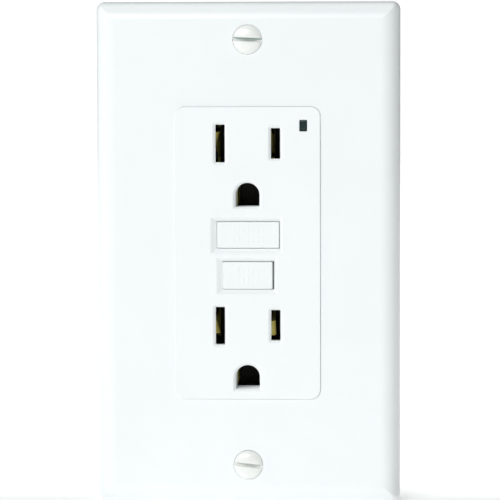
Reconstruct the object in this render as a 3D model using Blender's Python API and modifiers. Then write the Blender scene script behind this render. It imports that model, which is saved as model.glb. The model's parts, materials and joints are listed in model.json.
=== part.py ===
"""GFCI outlet: a duplex receptacle with a ground-fault interrupter, its strap, its screws and its wall plate.

Frame: X to the right, Y into the wall, Z up. The origin is the centre of the wall surface, which the
back of the strap and the rim of the wall plate touch, so everything at negative Y stands out of the wall.
"""
import math

import bmesh
import bpy
from mathutils import Vector

MM = 0.001
X, Y, Z = Vector((1, 0, 0)), Vector((0, 1, 0)), Vector((0, 0, 1))
GAP = 0.3 * MM                          # air between pieces that touch

# Wall plate
PLATE_WIDTH, PLATE_HEIGHT, PLATE_DEPTH = 69.85 * MM, 114.3 * MM, 5.8 * MM
PLATE_ROLL = 4.5 * MM                   # radius of the rolled front edge
PLATE_SHELL = 2.2 * MM
PLATE_SCREW_Z = 96.84 * MM / 2          # 6-32 screws, 96.84 mm apart
THREAD_RADIUS = 1.65 * MM               # 6-32 shank
HOLE_RADIUS = THREAD_RADIUS + GAP

# Face of the receptacle
FACE_WIDTH, FACE_HEIGHT, FACE_CORNER = 32.9 * MM, 66.5 * MM, 2.2 * MM
FACE_FRONT = -6.2 * MM
FACE_SHELL = 2.0 * MM
FLANGE_WIDTH, FLANGE_HEIGHT = 41.4 * MM, 67.8 * MM
FLANGE_FRONT = -PLATE_DEPTH + PLATE_SHELL + GAP
FLANGE_BACK = -1.5 * MM
CHIMNEY_BACK = 2.0 * MM                 # the plastic round each slot reaches this far back
BLADE_X = 6.35 * MM                     # blade slots are 12.7 mm apart
BLADE_Z = (24.95 * MM, -16.4 * MM)      # height of the blade slots of each outlet
SLOT_WIDTH = 2.0 * MM
NEUTRAL_HEIGHT, HOT_HEIGHT = 8.4 * MM, 6.86 * MM
GROUND_DROP = 11.75 * MM                # the ground hole lies this far under the blades
GROUND_RADIUS, GROUND_FLAT = 2.62 * MM, 2.85 * MM

# Buttons: centre height, half width and half height
RESET_Z, RESET_HALF = 4.23 * MM, (7.0 * MM, 2.9 * MM)
TEST_Z, TEST_HALF = -4.97 * MM, (5.58 * MM, 2.98 * MM)
WELL_MARGIN, WELL_DEPTH = 1.1 * MM, 1.5 * MM
BUTTON_FRONT = -6.0 * MM
LIP_FRONT, LIP_BACK, LIP_MARGIN = -3.3 * MM, -2.5 * MM, 0.62 * MM
LENS_X, LENS_Z, LENS_HALF = 12.64 * MM, 28.95 * MM, (0.87 * MM, 1.23 * MM)

# Strap
STRAP_THICK, STRAP_WIDTH = 1.2 * MM, 30.0 * MM
EAR_WIDTH, EAR_START, EAR_END = 36.0 * MM, 34.6 * MM, 53.2 * MM
MOUNT_SCREW_Z = 83.3 * MM / 2           # device box screws, 83.3 mm apart
GROUND_TAB_X, GROUND_SCREW = -15.5 * MM, Vector((-15.8, 6.5, -41.5)) * MM
RIVET_RISE = 10.15 * MM                 # rivet above the ground hole's centre

# Housings
REAR_WIDTH, REAR_HEIGHT, REAR_BACK = 42.0 * MM, 68.0 * MM, 33.0 * MM
REAR_WALL, BACK_WALL = 1.8 * MM, 1.6 * MM
TRAY_HALF_WIDTH, TRAY_HALF_HEIGHT = 13.8 * MM, 32.0 * MM
TRAY_FRONT, TRAY_BACK = 2.3 * MM, 15.6 * MM
POCKET_FLOOR = 12.8 * MM
HOUSING_SCREW = (16.6 * MM, 24.0 * MM)

# Side terminals
TERMINAL_Z, TERMINAL_Y = 15.5 * MM, 9.5 * MM
TERMINAL_IN, TERMINAL_OUT = 19.9 * MM, 20.7 * MM
CLAMP_IN, CLAMP_OUT = 15.2 * MM, 16.8 * MM
TERMINAL_THREAD = 2.05 * MM             # 8-32 shank

# Board and trip mechanism
BOARD_FRONT, BOARD_BACK = 16.0 * MM, 17.6 * MM
BOARD_SIDE = BOARD_BACK + GAP           # parts stand on the board from here
ARM_PIVOT = Vector((8.2, 18.7, 11.4)) * MM
LATCH_Y = 23.2 * MM                     # height of the latch plate and the solenoid's axis
TORUS_Z = 21.6 * MM
PIN_RADIUS = 0.9 * MM
LEAF_PIVOT = Vector((0.0, 5.8, -10.9)) * MM

ROUND = 16
SMALL_ROUND = 10

MATERIALS = {
    "plate_nylon": ((0.90, 0.93, 0.93), 0.32, 0.0),
    "face_nylon": ((0.91, 0.93, 0.92), 0.35, 0.0),
    "button_nylon": ((0.90, 0.92, 0.91), 0.38, 0.0),
    "screw_paint": ((0.86, 0.87, 0.84), 0.35, 0.0),
    "smoked_lens": ((0.03, 0.06, 0.055), 0.12, 0.0),
    "zinc_steel": ((0.62, 0.64, 0.66), 0.35, 1.0),
    "brass": ((0.78, 0.60, 0.27), 0.30, 1.0),
    "green_steel": ((0.05, 0.36, 0.16), 0.35, 0.6),
    "housing_plastic": ((0.80, 0.81, 0.80), 0.50, 0.0),
    "tray_plastic": ((0.10, 0.10, 0.11), 0.55, 0.0),
    "fibre": ((0.55, 0.43, 0.30), 0.85, 0.0),
    "board": ((0.05, 0.26, 0.12), 0.45, 0.0),
    "copper": ((0.80, 0.38, 0.20), 0.35, 1.0),
    "epoxy": ((0.08, 0.16, 0.42), 0.45, 0.0),
    "chip_black": ((0.02, 0.02, 0.02), 0.45, 0.0),
    "resistor_tan": ((0.72, 0.58, 0.40), 0.50, 0.0),
    "led_clear": ((0.30, 0.85, 0.35), 0.15, 0.0),
}


# ---------------------------------------------------------------- scene and materials

def clear_scene():
    for obj in list(bpy.data.objects):
        bpy.data.objects.remove(obj, do_unlink=True)


def new_collection(name, parent):
    made = bpy.data.collections.new(name)
    parent.children.link(made)
    return made


def get_material(name):
    found = bpy.data.materials.get(name)
    if found:
        return found
    color, roughness, metallic = MATERIALS[name]
    made = bpy.data.materials.new(name)
    made.use_nodes = True
    shader = made.node_tree.nodes["Principled BSDF"]
    shader.inputs["Base Color"].default_value = (*color, 1.0)
    shader.inputs["Roughness"].default_value = roughness
    shader.inputs["Metallic"].default_value = metallic
    made.diffuse_color = (*color, 1.0)
    return made


clear_scene()
PARTS = new_collection("gfci_outlet", bpy.context.scene.collection)
TOOLS = new_collection("tools", bpy.context.scene.collection)


def place(name, data, material, origin):
    """Links a new part, or a tool where no material is given, with its origin at the given point."""
    obj = bpy.data.objects.new(name, data)
    obj.location = origin
    if material:
        data.materials.append(get_material(material))
        PARTS.objects.link(obj)
    else:
        obj.hide_render = True
        obj.display_type = "WIRE"
    return obj


# ---------------------------------------------------------------- shapes

def block(low, high, radius=0.0, along=1, segments=2, name="tool", material=None, origin=(0, 0, 0)):
    """A box between two corners. A radius rounds its four edges along one axis."""
    low, high, origin = Vector(low), Vector(high), Vector(origin)
    bm = bmesh.new()
    bmesh.ops.create_cube(bm, size=1.0)
    for vert in bm.verts:
        for axis in range(3):
            vert.co[axis] = (high if vert.co[axis] > 0 else low)[axis] - origin[axis]
    if radius:
        chosen = [e for e in bm.edges if abs((e.verts[0].co - e.verts[1].co).normalized()[along]) > 0.99]
        bmesh.ops.bevel(bm, geom=chosen, offset=radius, segments=segments, profile=0.5, affect="EDGES")
    mesh = bpy.data.meshes.new(name)
    bm.to_mesh(mesh)
    bm.free()
    return place(name, mesh, material, origin)


def plan_block(centre, half, y0, y1, **options):
    """A box given by its centre (x, z) and half size (x, z) in the plane of the wall, and its span in Y."""
    low = (centre[0] - half[0], y0, centre[1] - half[1])
    high = (centre[0] + half[0], y1, centre[1] + half[1])
    return block(low, high, **options)


def turned(profile, at, axis, steps=ROUND, name="tool", material=None):
    """A profile of (radius, height) revolved about an axis through the given point, heights along the axis.

    The profile runs from the high end to the low one down its outer side. If neither of its ends
    lies on the axis it is closed into a ring.
    """
    mesh = bpy.data.meshes.new(name)
    edges = [(i, i + 1) for i in range(len(profile) - 1)]
    if profile[0][0] > 0:
        edges.append((len(profile) - 1, 0))
    mesh.from_pydata([(radius, 0, height) for radius, height in profile], edges, [])
    obj = place(name, mesh, material, at)
    obj.rotation_euler = Z.rotation_difference(Vector(axis)).to_euler()
    screw = obj.modifiers.new("turn", "SCREW")
    screw.axis = "Z"
    screw.steps = screw.render_steps = steps
    screw.use_merge_vertices = True
    screw.merge_threshold = 0.00001
    screw.use_smooth_shade = True
    return obj


def rod(start, end, radius, steps=ROUND, end_radius=None, **options):
    """A straight rod, or a cone where the two radii differ."""
    start, end = Vector(start), Vector(end)
    length = (end - start).length
    tip = radius if end_radius is None else end_radius
    return turned([(0, length), (tip, length), (radius, 0), (0, 0)], start, end - start, steps, **options)


def ring(at, axis, inner, outer, low, high, steps=ROUND, **options):
    return turned([(inner, high), (outer, high), (outer, low), (inner, low)], at, axis, steps, **options)


def tapered_block(centre, front_half, back_half, y_front, y_back):
    """A tool whose front is larger than its back."""
    tool = plan_block(centre, back_half, y_front, y_back)
    for vert in tool.data.vertices:
        if abs(vert.co.y - y_front) < abs(vert.co.y - y_back):
            for axis, middle, half in ((0, centre[0], front_half[0]), (2, centre[1], front_half[1])):
                vert.co[axis] = middle + math.copysign(half, vert.co[axis] - middle)
    return tool


def coil(name, material, origin, axis, radius, wire, length, turns, per_turn=12):
    """A helical spring that starts at the origin given and runs along the axis."""
    curve = bpy.data.curves.new(name, "CURVE")
    curve.dimensions = "3D"
    curve.bevel_depth = wire
    curve.bevel_resolution = 2
    curve.use_fill_caps = True
    spline = curve.splines.new("POLY")
    count = int(turns * per_turn) + 1
    spline.points.add(count - 1)
    for i, point in enumerate(spline.points):
        angle = 2 * math.pi * i / per_turn
        height = wire + (length - 2 * wire) * i / (count - 1)
        point.co = (radius * math.cos(angle), radius * math.sin(angle), height, 1.0)
    obj = place(name, curve, material, origin)
    obj.rotation_euler = Z.rotation_difference(Vector(axis)).to_euler()
    return obj


def combine(target, operation, tools):
    """One Boolean of the target with a collection of tools."""
    group = new_collection(f"{target.name}_{len(target.modifiers)}_{operation.lower()}", TOOLS)
    for index, tool in enumerate(tools):
        tool.name = f"{target.name}_{len(target.modifiers)}_tool_{index}"
        group.objects.link(tool)
    modifier = target.modifiers.new(operation.lower(), "BOOLEAN")
    modifier.operation = operation
    modifier.operand_type = "COLLECTION"
    modifier.collection = group
    modifier.solver = "EXACT"
    return target


def cut(target, *tools):
    return combine(target, "DIFFERENCE", tools)


def join(target, *tools):
    return combine(target, "UNION", tools)


def shade_parts():
    """Smooth shading on round pieces, with creases kept where faces meet at more than 35 degrees."""
    for obj in PARTS.objects:
        if obj.type == "MESH":
            obj.data.shade_smooth()
            obj.data.set_sharp_from_angle(angle=math.radians(35))


# ---------------------------------------------------------------- wall plate and its screws

def plate_body():
    """The plate's outer form: a box whose front edges are rolled and meet in mitred corners."""
    half = (PLATE_WIDTH / 2, PLATE_HEIGHT / 2)
    plate = plan_block((0, 0), half, -PLATE_DEPTH, 0, name="wall_plate", material="plate_nylon")
    bm = bmesh.new()
    bm.from_mesh(plate.data)
    front = [e for e in bm.edges if all(v.co.y < -PLATE_DEPTH + 1e-6 for v in e.verts)]
    bmesh.ops.bevel(bm, geom=front, offset=PLATE_ROLL, segments=4, profile=0.5, affect="EDGES")
    bm.to_mesh(plate.data)
    bm.free()
    return plate


def make_wall_plate():
    plate = plate_body()
    cavity_half = (PLATE_WIDTH / 2 - 2.4 * MM, PLATE_HEIGHT / 2 - 2.4 * MM)
    cut(plate, plan_block((0, 0), cavity_half, -PLATE_DEPTH + PLATE_SHELL, 1 * MM))
    boss = 3.1 * MM
    join(plate, *[
        rod((0, -PLATE_DEPTH + PLATE_SHELL / 2, z), (0, FLANGE_BACK, z), boss)
        for z in (PLATE_SCREW_Z, -PLATE_SCREW_Z)
    ])
    opening_half = (FACE_WIDTH / 2 + GAP, FACE_HEIGHT / 2 + GAP)
    tools = [plan_block((0, 0), opening_half, -8 * MM, 2 * MM, radius=FACE_CORNER + GAP, segments=3)]
    for z in (PLATE_SCREW_Z, -PLATE_SCREW_Z):
        tools.append(rod((0, -8 * MM, z), (0, 1 * MM, z), HOLE_RADIUS))
        tools.append(rod((0, -6.2 * MM, z), (0, -4.1 * MM, z), 3.9 * MM, end_radius=1.9 * MM))
    cut(plate, *tools)


def screw_slot(at, axis, across, width, depth, length):
    """A cutter for a screwdriver slot in a head at the given point, the slot running across it."""
    axis, across = Vector(axis), Vector(across)
    side = axis.cross(across)
    extents = (axis * depth + across * length + side * width)
    half = Vector([abs(value) for value in extents]) / 2
    return block(Vector(at) - half, Vector(at) + half)


def make_plate_screws():
    """6-32 oval-head screws, their axes along Y and their heads towards the room."""
    for name, z in (("plate_screw_top", PLATE_SCREW_Z), ("plate_screw_bottom", -PLATE_SCREW_Z)):
        at = (0, -PLATE_DEPTH, z)
        head = [(0, 0.95), (1.3, 0.87), (2.4, 0.62), (3.15, 0.2), (3.3, 0.0), (1.65, -1.6)]
        shank = [(1.65, -11.6), (1.0, -12.4), (0, -12.4)]
        profile = [(radius * MM, height * MM) for radius, height in head + shank]
        screw = turned(profile, at, -Y, name=name, material="screw_paint")
        cut(screw, screw_slot((0, -PLATE_DEPTH - 0.6 * MM, z), Y, X, 0.8 * MM, 1.6 * MM, 9 * MM))


# ---------------------------------------------------------------- face cover, buttons and lens

def ground_hole(centre_z, margin, y0, y1):
    """Tools for a hole with a round top and a flat bottom, or for the wall round it with a margin."""
    radius = GROUND_RADIUS + margin
    drop = GROUND_FLAT + margin
    low = (-radius, y0, centre_z - drop)
    return block(low, (radius, y1, centre_z)), rod((0, y0, centre_z), (0, y1, centre_z), radius)


def face_blank():
    """The face and its flange, hollow behind, with a wall round every slot and button."""
    half = (FACE_WIDTH / 2, FACE_HEIGHT / 2)
    face = plan_block((0, 0), half, FACE_FRONT, FLANGE_BACK, radius=FACE_CORNER, segments=3,
                      name="face_cover", material="face_nylon")
    flange_half = (FLANGE_WIDTH / 2, FLANGE_HEIGHT / 2)
    join(face, plan_block((0, 0), flange_half, FLANGE_FRONT, FLANGE_BACK))
    wall = 1.7 * MM
    hollow_half = (half[0] - wall, half[1] - wall)
    cut(face, plan_block((0, 0), hollow_half, FACE_FRONT + FACE_SHELL, 1 * MM))
    return face


def chimneys():
    """The plastic that runs back round each blade slot and ground hole, and the guides of the buttons."""
    front = FACE_FRONT + FACE_SHELL / 2
    made = []
    for outlet_z in BLADE_Z:
        for side in (-1, 1):
            made.append(plan_block((side * BLADE_X, outlet_z), (2.4 * MM, 5.3 * MM), front, CHIMNEY_BACK))
        ground_z = outlet_z - GROUND_DROP
        made.append(plan_block((0, ground_z - 0.1 * MM), (4.2 * MM, 3.8 * MM), front, CHIMNEY_BACK))
    for z, half in ((RESET_Z, RESET_HALF), (TEST_Z, TEST_HALF)):
        guide = (half[0] + 1.7 * MM, half[1] + 1.5 * MM)
        made.append(plan_block((0, z), guide, front, LIP_FRONT - GAP))
    return made


def housing_screw_places():
    return [(x * HOUSING_SCREW[0], z * HOUSING_SCREW[1]) for x in (-1, 1) for z in (1, -1)]


def face_bosses():
    """Posts behind the flange that the long housing screws turn into."""
    return [
        rod((x, FLANGE_BACK - 0.4 * MM, z), (x, 7 * MM, z), 2.3 * MM, steps=SMALL_ROUND)
        for x, z in housing_screw_places()
    ]


def blade_slots():
    tools = []
    for outlet_z in BLADE_Z:
        for side, height in ((-1, NEUTRAL_HEIGHT), (1, HOT_HEIGHT)):
            centre, half = (side * BLADE_X, outlet_z), (SLOT_WIDTH / 2, height / 2)
            tools.append(plan_block(centre, half, FACE_FRONT - 1 * MM, CHIMNEY_BACK + 1 * MM))
    return tools


def button_wells():
    """Tapered wells round the buttons and the straight holes that the buttons slide in."""
    tools = []
    for z, half in ((RESET_Z, RESET_HALF), (TEST_Z, TEST_HALF)):
        hole = (half[0] + GAP, half[1] + GAP)
        mouth = (half[0] + WELL_MARGIN, half[1] + WELL_MARGIN)
        tools.append(tapered_block((0, z), mouth, hole, FACE_FRONT - 0.01 * MM, FACE_FRONT + WELL_DEPTH))
        tools.append(plan_block((0, z), hole, FACE_FRONT - 1 * MM, 1 * MM))
    return tools


def make_face_cover():
    face = face_blank()
    join(face, *chimneys(), *face_bosses())
    lens_hole = (LENS_HALF[0] + 0.12 * MM, LENS_HALF[1] + 0.12 * MM)
    tools = blade_slots() + button_wells()
    tools.append(plan_block((LENS_X, LENS_Z), lens_hole, -8 * MM, 1 * MM))
    for outlet_z in BLADE_Z:
        tools.extend(ground_hole(outlet_z - GROUND_DROP, 0, -8 * MM, 3 * MM))
    for x, z in housing_screw_places():
        tools.append(rod((x, -0.5 * MM, z), (x, 8 * MM, z), 1.55 * MM, steps=SMALL_ROUND))
    cut(face, *tools)


def button(name, z, half, origin):
    """A button: its front block, and the lip that keeps it behind the face."""
    made = plan_block((0, z), half, BUTTON_FRONT, LIP_FRONT + 0.2 * MM, radius=0.5 * MM, segments=2,
                      name=name, material="button_nylon", origin=origin)
    lip_half = (half[0] + LIP_MARGIN, half[1] + LIP_MARGIN)
    return made, plan_block((0, z), lip_half, LIP_FRONT, LIP_BACK)


def make_buttons():
    reset_origin, test_origin = Vector((0, BUTTON_FRONT, RESET_Z)), Vector((0, BUTTON_FRONT, TEST_Z))
    reset, lip = button("reset_button", RESET_Z, RESET_HALF, reset_origin)
    join(reset, lip, rod((0, LIP_BACK - 0.3 * MM, RESET_Z), (0, 1.5 * MM, RESET_Z), 2.2 * MM))
    pin_socket = PIN_RADIUS + GAP
    cut(reset, rod((0, -1.5 * MM, RESET_Z), (0, 2 * MM, RESET_Z), pin_socket, steps=SMALL_ROUND))
    test, lip = button("test_button", TEST_Z, TEST_HALF, test_origin)
    join(test, lip, plan_block((0, TEST_Z), (1.5 * MM, 0.7 * MM), LIP_BACK - 0.3 * MM, 5.3 * MM))


def make_lens():
    plan_block((LENS_X, LENS_Z), LENS_HALF, BUTTON_FRONT, 0.4 * MM, radius=0.2 * MM, segments=1,
               name="indicator_lens", material="smoked_lens")


# ---------------------------------------------------------------- strap and its fasteners

def strap_windows():
    """Openings in the strap for the slots, ground holes, buttons, lamp and housing screws."""
    y0, y1 = -STRAP_THICK - 1 * MM, 1 * MM
    tools = []
    for outlet_z in BLADE_Z:
        for side in (-1, 1):
            tools.append(plan_block((side * BLADE_X, outlet_z), (2.8 * MM, 5.7 * MM), y0, y1))
        ground_z = outlet_z - GROUND_DROP
        tools.append(plan_block((0, ground_z - 0.1 * MM), (4.6 * MM, 4.2 * MM), y0, y1))
        rivet_z = ground_z + RIVET_RISE
        tools.append(rod((0, y0, rivet_z), (0, y1, rivet_z), 1.2 * MM, SMALL_ROUND))
    tools.append(block((-8.7 * MM, y0, -9.4 * MM), (8.7 * MM, y1, 8.6 * MM)))
    tools.append(block((-4.6 * MM, y0, 8 * MM), (4.6 * MM, y1, 10 * MM)))
    tools.append(plan_block((LENS_X, LENS_Z), (1.3 * MM, 1.6 * MM), y0, y1))
    for x, z in housing_screw_places():
        tools.append(plan_block((x, z), (2.8 * MM, 2.8 * MM), y0, y1))
    return tools


def strap_holes():
    """Oblong slots for the box screws, round holes for the plate screws, and the lanced ground tab."""
    y0, y1 = -STRAP_THICK - 1 * MM, 1 * MM
    tools = []
    for side in (-1, 1):
        slot_half = (4.1 * MM, 2.1 * MM)
        tools.append(plan_block((0, side * MOUNT_SCREW_Z), slot_half, y0, y1, radius=2.05 * MM, segments=6))
        screw_z = side * PLATE_SCREW_Z
        tools.append(rod((0, y0, screw_z), (0, y1, screw_z), HOLE_RADIUS))
    tab_back = GROUND_TAB_X + STRAP_THICK
    tools.append(plan_block((tab_back + 2 * MM, GROUND_SCREW.z), (2 * MM, 4 * MM), y0, y1))
    start = Vector((GROUND_TAB_X - 1 * MM, GROUND_SCREW.y, GROUND_SCREW.z))
    tools.append(rod(start, start + X * 4 * MM, TERMINAL_THREAD + GAP))
    return tools


def make_strap():
    middle_half = (STRAP_WIDTH / 2, EAR_START + 1 * MM)
    strap = plan_block((0, 0), middle_half, -STRAP_THICK, 0, name="mounting_strap", material="zinc_steel")
    ear_half = (EAR_WIDTH / 2, (EAR_END - EAR_START) / 2)
    ears = [
        plan_block(
            (0, side * (EAR_START + EAR_END) / 2), ear_half, -STRAP_THICK, 0, radius=4 * MM, segments=4
        )
        for side in (-1, 1)
    ]
    tab = block((GROUND_TAB_X, -STRAP_THICK / 2, GROUND_SCREW.z - 4.5 * MM),
                (GROUND_TAB_X + STRAP_THICK, 11.5 * MM, GROUND_SCREW.z + 4.5 * MM))
    join(strap, *ears, tab)
    cut(strap, *strap_windows(), *strap_holes())


def make_mounting_screws():
    """6-32 pan-head screws that hold the strap to the box, and the fibre washers that keep them captive."""
    for suffix, side in (("top", 1), ("bottom", -1)):
        z = side * MOUNT_SCREW_Z
        at = (0, FLANGE_BACK, z)
        head = [(0, 1.75), (1.9, 1.7), (2.9, 1.35), (3.3, 0.7), (3.3, 0.0), (1.65, 0.0)]
        shank = [(1.65, -21.8), (0.9, -23.5), (0, -23.5)]
        profile = [(radius * MM, height * MM) for radius, height in head + shank]
        screw = turned(profile, at, -Y, name=f"mounting_screw_{suffix}", material="zinc_steel")
        cut(screw, screw_slot((0, -3.2 * MM, z), Y, X, 0.9 * MM, 1.6 * MM, 9 * MM))
        washer = plan_block((0, z), (4.5 * MM, 3.6 * MM), GAP, 1.1 * MM, radius=0.8 * MM,
                            name=f"screw_retainer_{suffix}", material="fibre")
        cut(washer, rod((0, -1 * MM, z), (0, 2 * MM, z), HOLE_RADIUS))


def make_ground_screw():
    """Green hex-head screw in the strap's tab, and the plate that it draws up on a bare ground wire."""
    head = [(0, 2.3), (2.9, 2.3), (3.3, 1.9), (3.3, 0.8), (4.1, 0.7), (4.1, 0.0), (2.05, 0.0)]
    profile = [(radius * MM, height * MM) for radius, height in head + [(2.05, -8.2), (0, -8.8)]]
    screw = turned(profile, GROUND_SCREW, -X, name="ground_screw", material="green_steel")
    slot_at = GROUND_SCREW - X * 2.1 * MM
    cut(screw, screw_slot(slot_at, X, Y, 1.0 * MM, 1.4 * MM, 9 * MM))
    centre = GROUND_SCREW + X * 4.5 * MM
    half = Vector((0.7, 4.0, 4.0)) * MM
    clamp = block(centre - half, centre + half, name="ground_clamp", material="zinc_steel", origin=centre)
    cut(clamp, rod(centre - X * 3 * MM, centre + X * 3 * MM, TERMINAL_THREAD + GAP))


# ---------------------------------------------------------------- housings

def make_tray():
    """The middle housing: a deep tray with a pocket for each contact, the spring and the test leaf."""
    y0 = TRAY_FRONT - 1 * MM
    tray = plan_block((0, 0), (TRAY_HALF_WIDTH, TRAY_HALF_HEIGHT), TRAY_FRONT, TRAY_BACK, radius=1 * MM,
                      name="middle_housing", material="tray_plastic")
    tools = []
    for side in (-1, 1):
        tools.append(plan_block((side * 7.45 * MM, 4.3 * MM), (3.05 * MM, 26.5 * MM), y0, POCKET_FLOOR))
        tools.append(plan_block((side * ARM_PIVOT.x, -4 * MM), (1.6 * MM, 1.0 * MM), y0, 17 * MM))
    for outlet_z in BLADE_Z:
        ground_z = outlet_z - GROUND_DROP
        tools.append(plan_block((0, ground_z + 0.95 * MM), (3.9 * MM, 4.35 * MM), y0, 15 * MM))
    tools.append(rod((0, y0, RESET_Z), (0, 4.6 * MM, RESET_Z), 3.9 * MM))
    tools.append(rod((0, y0, RESET_Z), (0, 17 * MM, RESET_Z), PIN_RADIUS + 0.4 * MM, steps=SMALL_ROUND))
    tools.append(block((-3.6 * MM, y0, -11.8 * MM), (3.6 * MM, 9 * MM, -0.7 * MM)))
    tools.append(block((11.2 * MM, y0, 27.1 * MM), (15 * MM, 17 * MM, 30.8 * MM)))
    cut(tray, *tools)


def rear_windows():
    """Side windows for the terminals, wire holes in the back, and notches for the strap."""
    half_width, half_height = REAR_WIDTH / 2, REAR_HEIGHT / 2
    tools = []
    for side in (-1, 1):
        for z in (TERMINAL_Z, -TERMINAL_Z):
            centre = Vector((side * half_width, 12 * MM, z))
            reach = Vector((3, 7.4, 4.95)) * MM
            tools.append(block(centre - reach, centre + reach))
            for offset in (-3.1 * MM, 3.1 * MM):
                x = side * 17 * MM
                ends = [(x, depth, z + offset) for depth in (30 * MM, 35 * MM)]
                tools.append(rod(*ends, 1.35 * MM, SMALL_ROUND))
        notch = (STRAP_WIDTH / 2 + 0.4 * MM, 2 * MM)
        tools.append(plan_block((0, side * half_height), notch, -2 * MM, GAP))
    return tools


def make_rear_housing():
    half_width, half_height = REAR_WIDTH / 2, REAR_HEIGHT / 2
    rear = plan_block((0, 0), (half_width, half_height), -STRAP_THICK, REAR_BACK, radius=2.5 * MM, segments=3,
                      name="rear_housing", material="housing_plastic")
    inner_half = (half_width - REAR_WALL, half_height - 1.6 * MM)
    cut(rear, plan_block((0, 0), inner_half, -3 * MM, REAR_BACK - BACK_WALL, radius=1 * MM, segments=1))
    inside = REAR_BACK - BACK_WALL / 2
    posts = []
    for x, z in housing_screw_places():
        posts.append(rod((x, 7.4 * MM, z), (x, inside, z), 2.7 * MM, steps=SMALL_ROUND))
        posts.append(rod((x, 27.5 * MM, z), (x, inside, z), 3.4 * MM, steps=SMALL_ROUND))
    join(rear, *posts)
    tools = rear_windows()
    for x, z in housing_screw_places():
        tools.append(rod((x, 6 * MM, z), (x, 35 * MM, z), 1.6 * MM, steps=SMALL_ROUND))
        tools.append(rod((x, 29.5 * MM, z), (x, 35 * MM, z), 2.7 * MM, steps=SMALL_ROUND))
    cut(rear, *tools)


def make_housing_screws():
    """Long self-tapping screws that hold the two housings and the face together, driven from behind."""
    for number, (x, z) in enumerate(housing_screw_places(), start=1):
        at = (x, 29.8 * MM, z)
        points = [(0, 1.7), (1.5, 1.6), (2.35, 1.0), (2.35, 0.0), (1.25, 0.0), (1.25, -29.0), (0, -30.0)]
        profile = [(radius * MM, height * MM) for radius, height in points]
        screw = turned(profile, at, Y, SMALL_ROUND, name=f"housing_screw_{number}", material="zinc_steel")
        recess = 1.5 * MM
        top = 31.0 * MM
        cut(screw,
            block((x - recess, top - 0.6 * MM, z - 0.3 * MM), (x + recess, top + 2 * MM, z + 0.3 * MM)),
            block((x - 0.3 * MM, top - 0.6 * MM, z - recess), (x + 0.3 * MM, top + 2 * MM, z + recess)))


# ---------------------------------------------------------------- contacts and terminals

def make_bus(name, side):
    """A brass strip with two blade clips and a post up to the switch arm."""
    x = side * BLADE_X
    spine_front, spine_back = 11.9 * MM, 12.5 * MM
    spine_z = (29.0 * MM - 20.4 * MM) / 2
    spine = plan_block(
        (x, spine_z), (1.5 * MM, 24.7 * MM), spine_front, spine_back, name=name, material="brass"
    )
    pieces = []
    for outlet_z in BLADE_Z:
        for leaf in (-1, 1):
            centre = (x + leaf * 1.25 * MM, outlet_z)
            pieces.append(plan_block(centre, (0.25 * MM, 3.4 * MM), 3 * MM, 12.2 * MM))
    post_x = side * ARM_PIVOT.x
    pieces.append(
        block((post_x - 1.2 * MM, spine_front, -4.35 * MM), (post_x + 1.2 * MM, 18.1 * MM, -3.65 * MM))
    )
    join(spine, *pieces)


def make_ground_contacts():
    """Clips behind the ground holes, each with a foot that is riveted to the back of the strap."""
    for suffix, outlet_z in (("upper", BLADE_Z[0]), ("lower", BLADE_Z[1])):
        z = outlet_z - GROUND_DROP
        foot = block((-2.2 * MM, GAP, z + 4.3 * MM), (2.2 * MM, 1.0 * MM, z + 13.4 * MM),
                     name=f"ground_contact_{suffix}", material="brass")
        web = block((-3.4 * MM, GAP, z + 4.3 * MM), (3.4 * MM, 14.5 * MM, z + 5.0 * MM))
        arms = [
            block((side * 3.05 * MM - 0.35 * MM, 2.7 * MM, z - 2.6 * MM),
                  (side * 3.05 * MM + 0.35 * MM, 14.5 * MM, z + 4.6 * MM))
            for side in (-1, 1)
        ]
        join(foot, web, *arms)
        rivet_z = z + RIVET_RISE
        cut(foot, rod((0, -1 * MM, rivet_z), (0, 2 * MM, rivet_z), 1.2 * MM, SMALL_ROUND))
        head = [(0, 2.2), (1.1, 2.1), (1.7, 1.5), (0.9, 1.5)]
        points = [*head, (0.9, -1.3), (1.6, -1.3), (1.6, -1.8), (0, -1.8)]
        profile = [(radius * MM, height * MM) for radius, height in points]
        turned(
            profile, (0, 0, rivet_z), -Y, SMALL_ROUND,
            name=f"ground_rivet_{suffix}", material="zinc_steel",
        )


def make_terminal(name, side, z, metal):
    """One side terminal: its plate and leg, its screw, and the clamp plate that the screw draws outwards."""
    outer = side * TERMINAL_OUT
    inner = side * TERMINAL_IN
    middle = (inner + outer) / 2
    half = abs(outer - inner) / 2
    plate = block((middle - half, 5 * MM, z - 4.6 * MM), (middle + half, 19 * MM, z + 4.6 * MM),
                  name=f"{name}_terminal", material=metal)
    leg_x = side * 16.1 * MM
    leg = block((leg_x - 4.6 * MM, 18.2 * MM, z - 1.2 * MM), (leg_x + 4.6 * MM, 19 * MM, z + 1.2 * MM))
    foot_x = side * 11.9 * MM
    foot = block(
        (foot_x - 0.4 * MM, BOARD_SIDE, z - 1.2 * MM), (foot_x + 0.4 * MM, 18.6 * MM, z + 1.2 * MM)
    )
    join(plate, leg, foot)
    axis_point = Vector((middle, TERMINAL_Y, z))
    hole = TERMINAL_THREAD + GAP
    cut(plate, rod(axis_point - X * 2 * MM, axis_point + X * 2 * MM, hole))

    head_at = Vector((side * 21.0 * MM, TERMINAL_Y, z))
    head = [(0, 2.0), (2.2, 1.95), (3.2, 1.55), (3.7, 0.8), (3.7, 0.0)]
    points = [*head, (2.05, 0.0), (2.05, -5.7), (0, -6.1)]
    profile = [(radius * MM, height * MM) for radius, height in points]
    screw = turned(profile, head_at, side * X, name=f"{name}_screw", material=metal)
    cut(screw, screw_slot(head_at + side * X * 1.8 * MM, X, Z, 1.0 * MM, 1.4 * MM, 9 * MM))
    make_clamp(name, side, z)


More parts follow.
